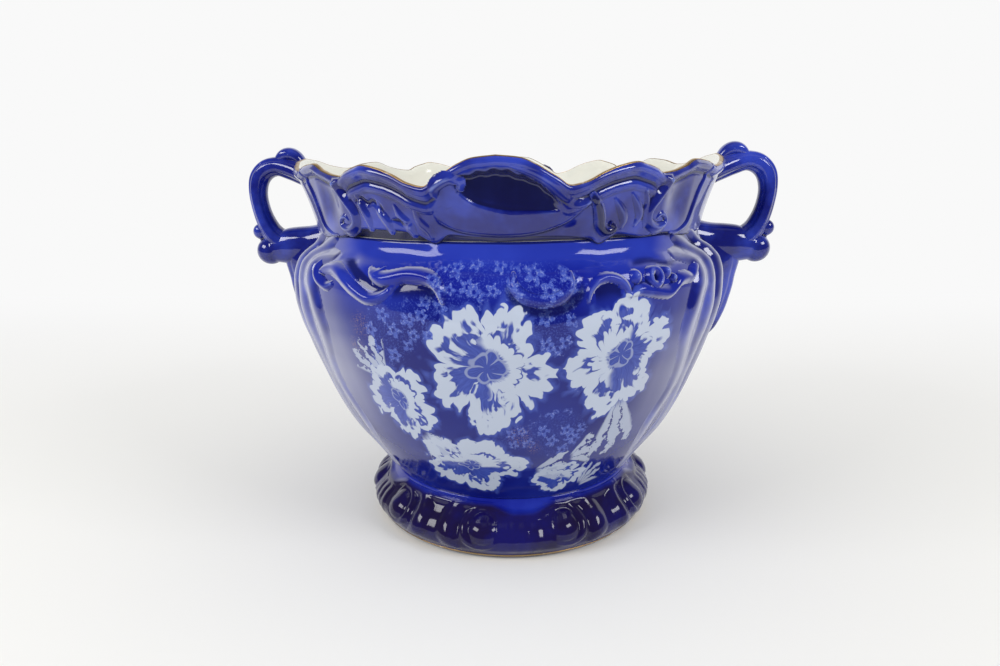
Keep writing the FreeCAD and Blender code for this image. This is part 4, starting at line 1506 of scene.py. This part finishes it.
def quarter_turns(quarter, low, high):
    """The azimuths of a quarter between two distances from the front or back."""
    return {"front_right": (low, high), "front_left": (-high, -low),
            "back_right": (180 - high, 180 - low), "back_left": (180 + low, 180 + high)}[quarter]


class PLANTER_OT_ribs(bpy.types.Operator):
    """Lay the drapery folds down the sides of the bowl"""

    bl_idname = "planter.ribs"
    bl_label = "Side folds"

    def execute(self, context):
        for quarter in QUARTERS:
            folds = patch("folds_" + quarter, bowl_radius, bowl_broad, fold_fine,
                          quarter_turns(quarter, 43, 72), (31, 174), 0.8)
            settle(folds, [finish("cobalt_strong_painted_sheen")], "panel_rib_" + quarter)
        return {"FINISHED"}


class PLANTER_OT_shoulder(bpy.types.Operator):
    """Lay the scrolls along the shoulder"""

    bl_idname = "planter.shoulder"
    bl_label = "Shoulder scrolls"

    def execute(self, context):
        cell = context.scene.planter_sizes.cell
        for quarter in QUARTERS:
            scrolls = patch("shoulder_moulding_" + quarter, bowl_radius, bowl_broad, shoulder_fine,
                            quarter_turns(quarter, 0.5, 62), (140, 166), cell)
            settle(scrolls, [finish("flow_print")], "shoulder_scroll_" + quarter)
        return {"FINISHED"}


class PLANTER_OT_rim(bpy.types.Operator):
    """Lay the scrolls and the shells on the collar"""

    bl_idname = "planter.rim"
    bl_label = "Collar scrolls and shells"

    def execute(self, context):
        cell = context.scene.planter_sizes.cell
        for quarter in QUARTERS:
            scrolls = patch("rim_moulding_" + quarter, collar_radius, collar_broad, collar_fine,
                            quarter_turns(quarter, 12, 63), (NECK_HEIGHT - 3, 205), cell)
            settle(scrolls, [finish("deep_cobalt")], "rim_scroll_" + quarter)
        for side, turn in (("front", 0), ("back", 180)):
            shell = patch("shell_moulding_" + side, collar_radius, collar_broad, shell_fine,
                          (turn - 17, turn + 23), (NECK_HEIGHT + 1, 206), cell)
            settle(shell, [finish("deep_cobalt")], "rim_shell_" + side)
        return {"FINISHED"}


# The ring handle on the right: millimetres out, up, half thickness, half width
LOOP_PATH = [(114.0, 197.0, 6.2, 14.0), (119.0, 199.4, 6.6, 12.0), (126.5, 202.0, 6.2, 8.6),
             (134.2, 203.7, 5.6, 6.8), (141.0, 202.0, 5.8, 6.5), (145.8, 196.8, 5.7, 6.4),
             (147.4, 189.0, 5.1, 6.3), (146.7, 181.0, 4.9, 6.4), (144.5, 172.9, 5.2, 6.8),
             (140.8, 165.4, 6.0, 7.4), (134.6, 159.6, 7.0, 8.0), (127.6, 156.4, 6.2, 6.2)]
LOOP_CORNERS = 48
# The arm under it: millimetres out, up, half thickness, half width
ARM = [(104.0, 158.4, 14.5, 13.0), (110.0, 158.0, 12.9, 11.6), (117.0, 157.8, 11.6, 10.2),
       (125.0, 157.6, 11.2, 9.6), (132.0, 157.0, 10.6, 9.0), (140.0, 155.6, 8.0, 7.8)]
ROLL_CENTRE = (142.9, 154.6)
ROLL_REACH = 8.2
ROLL_HALF = 8.2
BEAD_CENTRE = (147.9, 166.2)
BEAD_REACH = 4.8
WALL_MIDDLE = 2.4
# The curl that crests it, in the same measures
CREST_PATH = [(119.6, 205.4, 2.8, 4.4), (122.4, 208.6, 3.5, 5.2), (125.6, 210.3, 3.9, 5.6),
              (129.0, 210.2, 3.9, 5.4), (132.2, 208.4, 3.3, 4.6), (135.2, 206.2, 1.6, 2.8)]


# The strap's side grooves: degrees round its section, half width, share of its size
GROOVE_TURNS = (52, 128, 232, 308)
GROOVE_HALF = 17
GROOVE_DIP = 0.10
GROOVE_SIDE_DIP = 0.09


def strap_sections(path, corners, grooves):
    """Sections of a strap that bends in the plane of the handles, grooved along its sides."""
    line = through(path, 7)
    along = np.gradient(line[:, :2], axis=0)
    along /= np.linalg.norm(along, axis=1)[:, None]
    outward = np.stack([-along[:, 1], along[:, 0]], axis=1)
    turn = np.linspace(0, 2 * np.pi, corners, endpoint=False)
    side_dip = grooves * sum(hump(np.degrees(turn), at, GROOVE_HALF) for at in GROOVE_TURNS)
    sections = []
    for (x, z, thick, wide), (nx, nz) in zip(line, outward):
        full = np.abs(np.cos(turn)) ** 0.85 * np.sign(np.cos(turn))
        reach = thick * full * (1 - GROOVE_DIP * side_dip)
        across = wide * np.sin(turn) * (1 - GROOVE_SIDE_DIP * side_dip)
        sections.append(np.stack([x + nx * reach, across, z + nz * reach], axis=1) * MM)
    return sections


# The leaf under a handle: height, then how far it stands out and its half width
leaf_stand = Curve([(97, 0.0), (101, 3.4), (106, 7.4), (112, 9.8), (120, 10.8), (130, 11.6),
                    (138, 12.6), (144, 14.2), (150, 16.0), (158, 16.0)])
leaf_half = Curve([(97, 1.0), (104, 4.6), (114, 7.6), (130, 9.4), (146, 10.6), (158, 11.0)])


def handle_leaf_fine(azimuth, height):
    """The veined leaf that tails down the bowl below a handle."""
    across = (folded(azimuth) - 90) * math.radians(BULB_RADIUS - 1)
    half = leaf_half(height)
    t = np.clip(np.abs(across) / half, 0, 1)
    body = (1 - t ** 2.2) ** 0.9
    vein = 0.9 * hump(across, 0.1 * half, 1.5) + 0.8 * hump(np.abs(across), 0.55 * half, 1.4)
    return leaf_stand(height) * body - vein * soft_step(98, 112, height)


def held_in_wall(piece):
    """Press back into the wall what would reach through it into the pot."""
    places = points_of(piece)
    radius, height = np.hypot(places[:, 0], places[:, 1]), places[:, 2]
    wall = np.where(height < NECK_HEIGHT, belly_curve(height),
                    collar_radius(azimuth_of(places), height))
    places[:, :2] *= (np.maximum(radius, wall - WALL_MIDDLE) / radius)[:, None]
    move_points(piece, places * MM)


class PLANTER_OT_handles(bpy.types.Operator):
    """Sweep the ring handles and set their rolls, beads, curls and leaves"""

    bl_idname = "planter.handles"
    bl_label = "Handles"

    def execute(self, context):
        cobalt = [finish("deep_cobalt")]
        loop = swept("ring_right", strap_sections(LOOP_PATH, LOOP_CORNERS, 1.0))
        knop = self.knop()
        crest = self.crest()
        held_in_wall(loop)
        held_in_wall(knop)
        for piece, node in ((loop, "handle_loop"), (knop, "handle_knop"),
                            (crest, "handle_crest_curl")):
            twin = mirror_left(piece, piece.name.replace("right", "left"))
            settle(piece, cobalt, node + "_right")
            settle(twin, cobalt, node + "_left")
        for side, turn in (("right", 90), ("left", -90)):
            leaf = patch("tail_leaf_" + side, bowl_radius, bowl_broad, handle_leaf_fine,
                         (turn - 6.5, turn + 6.5), (96, 158), 0.6)
            settle(leaf, cobalt, "handle_leaf_" + side)
        return {"FINISHED"}

    def knop(self):
        """The arm, roll and bead under the right ring, run together."""
        arm = swept("arm", strap_sections(ARM, 32, 0.0))
        turn = np.linspace(0, 2 * np.pi, 40, endpoint=False)
        rolls = []
        for across in np.sin(np.radians(np.linspace(-86, 86, 17))):
            share = math.sqrt(1 - across * across)
            reach = ROLL_REACH * share
            rolls.append(np.stack([ROLL_CENTRE[0] + reach * np.cos(turn),
                                   np.full(len(turn), ROLL_HALF * across),
                                   ROLL_CENTRE[1] + reach * np.sin(turn)], axis=1) * MM)
        roll = swept("roll", rolls)
        fresh()
        bpy.ops.mesh.primitive_uv_sphere_add(
            segments=24, ring_count=16, radius=BEAD_REACH * MM,
            location=(BEAD_CENTRE[0] * MM, 0, BEAD_CENTRE[1] * MM))
        bead = bpy.context.object
        bpy.ops.object.transform_apply(location=True, rotation=True, scale=True)
        knop = join([arm, roll, bead], "roll_right")
        melt(knop, 0.6, 9)
        return knop

    def crest(self):
        """The small rolled curl that crests the right ring."""
        crest = swept("curl_right", strap_sections(CREST_PATH, 28, 0.0))
        melt(crest, 0.4, 3)
        return crest


# The gold: the turns of its rows over the lip, how far it stands out and goes in there,
# and its heights and edge on the foot
GOLD_TURNS = [50, 65, 80, 95, 110]
GOLD_LIFT, GOLD_ROOT = 0.14, -0.3
FOOT_GOLD_LOW, FOOT_GOLD_HIGH = 1.3, 2.9
FOOT_GOLD_LIFT = 0.12


class PLANTER_OT_gilding(bpy.types.Operator):
    """Lay the thin gold lines on the lip and the foot"""

    bl_idname = "planter.gilding"
    bl_label = "Gilding"

    def execute(self, context):
        sizes = context.scene.planter_sizes
        outline = [(NECK_RADIUS + 5 - 0.5 * step, NECK_HEIGHT + 20) for step in range(len(GOLD_TURNS))]
        outline += [(outline[-1][0], NECK_HEIGHT + 19), (outline[0][0], NECK_HEIGHT + 19)]
        outline.append(outline[0])
        line = spun("lip_gold", outline, sizes.collar_steps)
        row, azimuth = rows_of(line, outline[:-1])
        places = points_of(line) * MM
        rows = [(angle, GOLD_LIFT) for angle in GOLD_TURNS]
        rows += [(GOLD_TURNS[-1], GOLD_ROOT), (GOLD_TURNS[0], GOLD_ROOT)]
        for index, (angle, lift) in enumerate(rows):
            here = row == index
            radius, height = lip_point(azimuth[here], angle, sizes.lip_wall, lift)
            places[here] = at_radius(radius, azimuth[here], height)
        move_points(line, places)
        finish_skin(line)
        settle(line, [finish("worn_gold")], "rim_gilding")
        ring = [(float(foot_curve(up)) + FOOT_GOLD_LIFT, up)
                for up in np.linspace(FOOT_GOLD_LOW, FOOT_GOLD_HIGH, 4)]
        ring += [(ring[-1][0] - 0.5, FOOT_GOLD_HIGH), (ring[0][0] - 0.5, FOOT_GOLD_LOW)]
        ring.append(ring[0])
        band = spun("foot_gold", ring, FOOT_STEPS)
        settle(band, [finish("worn_gold")], "foot_gilding")
        return {"FINISHED"}


CAMERA_PLACE = (17.656, -412.839, 206.245)
CAMERA_WAY = (-0.05507, 0.96894, -0.24111)
CAMERA_ROLL = -0.765
# The floor, in metres: width, front edge, back edge, and the backdrop's bend and height
FLOOR_WIDTH, FLOOR_FRONT, FLOOR_BACK = 9, -0.62, 1.9
BACKDROP_BEND, BACKDROP_RISE = 0.9, 2.2
BEND_STEPS = 14
# The lamps: name, place, size, share of the lamp power
LAMPS = [("lamp_overhead", (0.1, -0.2, 1.7), (1.5, 1.0), 0.25),
         ("softbox_left", (-1.0, -0.66, 0.85), (0.7, 0.4), 2.1),
         ("softbox_right", (1.05, -0.66, 0.9), (0.6, 0.36), 1.9)]
LAMP_AIM = Vector((0, 0, 0.12))
# The room as the camera sees it, and the share of it that reflections lose
ROOM_SEEN = 1.07
ROOM_DIMMED = 0.84


class PLANTER_OT_stage(bpy.types.Operator):
    """Set the floor, the backdrop, the light and the camera"""

    bl_idname = "planter.stage"
    bl_label = "Stage"

    def execute(self, context):
        studio = context.scene.planter_studio
        self.floor(studio)
        self.light(studio)
        self.camera(studio)
        context.scene.view_settings.view_transform = "Standard"
        return {"FINISHED"}

    def floor(self, studio):
        """A pale floor that sweeps up into a backdrop behind the pot."""
        fresh()
        bpy.ops.mesh.primitive_plane_add(size=1)
        floor = bpy.context.object
        floor.name = "studio_floor"
        bpy.ops.object.mode_set(mode="EDIT")
        mesh = bmesh.from_edit_mesh(floor.data)
        for point in mesh.verts:
            point.co = Vector((point.co.x * FLOOR_WIDTH,
                               FLOOR_FRONT if point.co.y < 0 else FLOOR_BACK, 0))
        bpy.ops.mesh.select_all(action="DESELECT")
        for edge in mesh.edges:
            edge.select_set(all(point.co.y > 1 for point in edge.verts))
        bmesh.update_edit_mesh(floor.data)
        for step in range(BEND_STEPS):
            start, stop = (math.pi / 2 * at / BEND_STEPS for at in (step, step + 1))
            move = Vector((0, BACKDROP_BEND * (math.sin(stop) - math.sin(start)),
                           BACKDROP_BEND * (math.cos(start) - math.cos(stop))))
            bpy.ops.mesh.extrude_region_move(TRANSFORM_OT_translate={"value": move})
        bpy.ops.mesh.extrude_region_move(TRANSFORM_OT_translate={"value": (0, 0, BACKDROP_RISE)})
        bpy.ops.mesh.select_all(action="SELECT")
        bpy.ops.mesh.normals_make_consistent(inside=False)
        bpy.ops.object.mode_set(mode="OBJECT")
        bpy.ops.object.shade_smooth()
        self.paper(studio)
        floor.data.materials.append(finish("studio_paper"))

    def paper(self, studio):
        """Pale paper that shows white toward the back, to the eye and in reflections."""
        tree, body = shader("studio_paper")
        spot = object_place(tree)
        colour = mixed(tree, noise(spot, 3.0, 2.0) * 0.1, studio.floor, srgb(232, 232, 228))
        feed(body.inputs["Base Color"], colour)
        plain_gloss(body, 0.6, 1.3)
        glow = add(tree, "Emission", {"Color": srgb(249, 249, 249), "Strength": 1.0})
        path = add(tree, "LightPath", out="Is Camera Ray")
        seen = calc("MAXIMUM", path, calc("MAXIMUM", path.also("Is Glossy Ray"),
                                          path.also("Is Transmission Ray")))
        share = between(parted(spot)[1], -0.15, 0.65) * seen
        shown = add(tree, "MixShader", {0: share, 1: Wire(tree, body.outputs[0]), 2: glow})
        feed(tree.nodes["Material Output"].inputs["Surface"], shown)

    def light(self, studio):
        """A soft overhead lamp, two softboxes and even light from the room."""
        world = bpy.data.worlds.new("studio_room")
        world.use_nodes = True
        bpy.context.scene.world = world
        back = world.node_tree.nodes["Background"]
        back.inputs["Color"].default_value = srgb(241, 240, 238)
        path = add(world.node_tree, "LightPath", out="Is Camera Ray")
        dim = path.also("Is Glossy Ray") * (studio.room * ROOM_DIMMED)
        feed(back.inputs["Strength"], path * (ROOM_SEEN - studio.room) + (studio.room - dim))
        for name, place, size, share in LAMPS:
            fresh()
            bpy.ops.object.light_add(type="AREA", location=place)
            lamp = bpy.context.object
            lamp.name = name
            lamp.data.shape = "RECTANGLE"
            lamp.data.size, lamp.data.size_y = size
            lamp.data.energy = studio.lamp * share
            aim = LAMP_AIM - Vector(place)
            lamp.rotation_euler = aim.to_track_quat("-Z", "Y").to_euler()

    def camera(self, studio):
        """The camera at the photograph's viewing angle."""
        bpy.ops.object.camera_add(location=Vector(CAMERA_PLACE) * MM)
        camera = bpy.context.object
        camera.name = "photo_camera"
        turn = Vector(CAMERA_WAY).to_track_quat("-Z", "Y").to_matrix().to_4x4()
        roll = Matrix.Rotation(math.radians(CAMERA_ROLL), 4, "Z")
        camera.rotation_euler = (turn @ roll).to_euler()
        camera.data.sensor_width = 36
        camera.data.lens = studio.lens
        camera.data.clip_start = 0.01
        bpy.context.scene.camera = camera


class PLANTER_PT_panel(bpy.types.Panel):
    """Lists the planter's steps in the sidebar"""

    bl_idname = "PLANTER_PT_panel"
    bl_label = "Two-Handled Planter"
    bl_space_type = "VIEW_3D"
    bl_region_type = "UI"
    bl_category = "Planter"

    def draw(self, context):
        for settings in ("planter_sizes", "planter_colours", "planter_studio"):
            group = getattr(context.scene, settings)
            for name in group.__annotations__:
                self.layout.prop(group, name)
        for step in STEPS:
            self.layout.operator("planter." + step)


STEPS = ("finishes", "bowl", "collar", "foot", "ribs", "shoulder", "rim", "handles", "gilding",
         "stage")
CLASSES = (PlanterColours, PlanterSizes, StudioSettings, PLANTER_OT_finishes, PLANTER_OT_bowl,
           PLANTER_OT_collar, PLANTER_OT_foot, PLANTER_OT_ribs, PLANTER_OT_shoulder,
           PLANTER_OT_rim, PLANTER_OT_handles, PLANTER_OT_gilding, PLANTER_OT_stage,
           PLANTER_PT_panel)


def register():
    """Make the classes and settings known."""
    for kind in CLASSES:
        bpy.utils.register_class(kind)
    bpy.types.Scene.planter_colours = bpy.props.PointerProperty(type=PlanterColours)
    bpy.types.Scene.planter_sizes = bpy.props.PointerProperty(type=PlanterSizes)
    bpy.types.Scene.planter_studio = bpy.props.PointerProperty(type=StudioSettings)


def unregister():
    """Take the classes and settings out again."""
    del bpy.types.Scene.planter_studio
    del bpy.types.Scene.planter_sizes
    del bpy.types.Scene.planter_colours
    for kind in reversed(CLASSES):
        bpy.utils.unregister_class(kind)


def main():
    """Build the planter."""
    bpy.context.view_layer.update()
    register()
    for step in STEPS:
        getattr(bpy.ops.planter, step)()


if __name__ == "__main__":
    main()
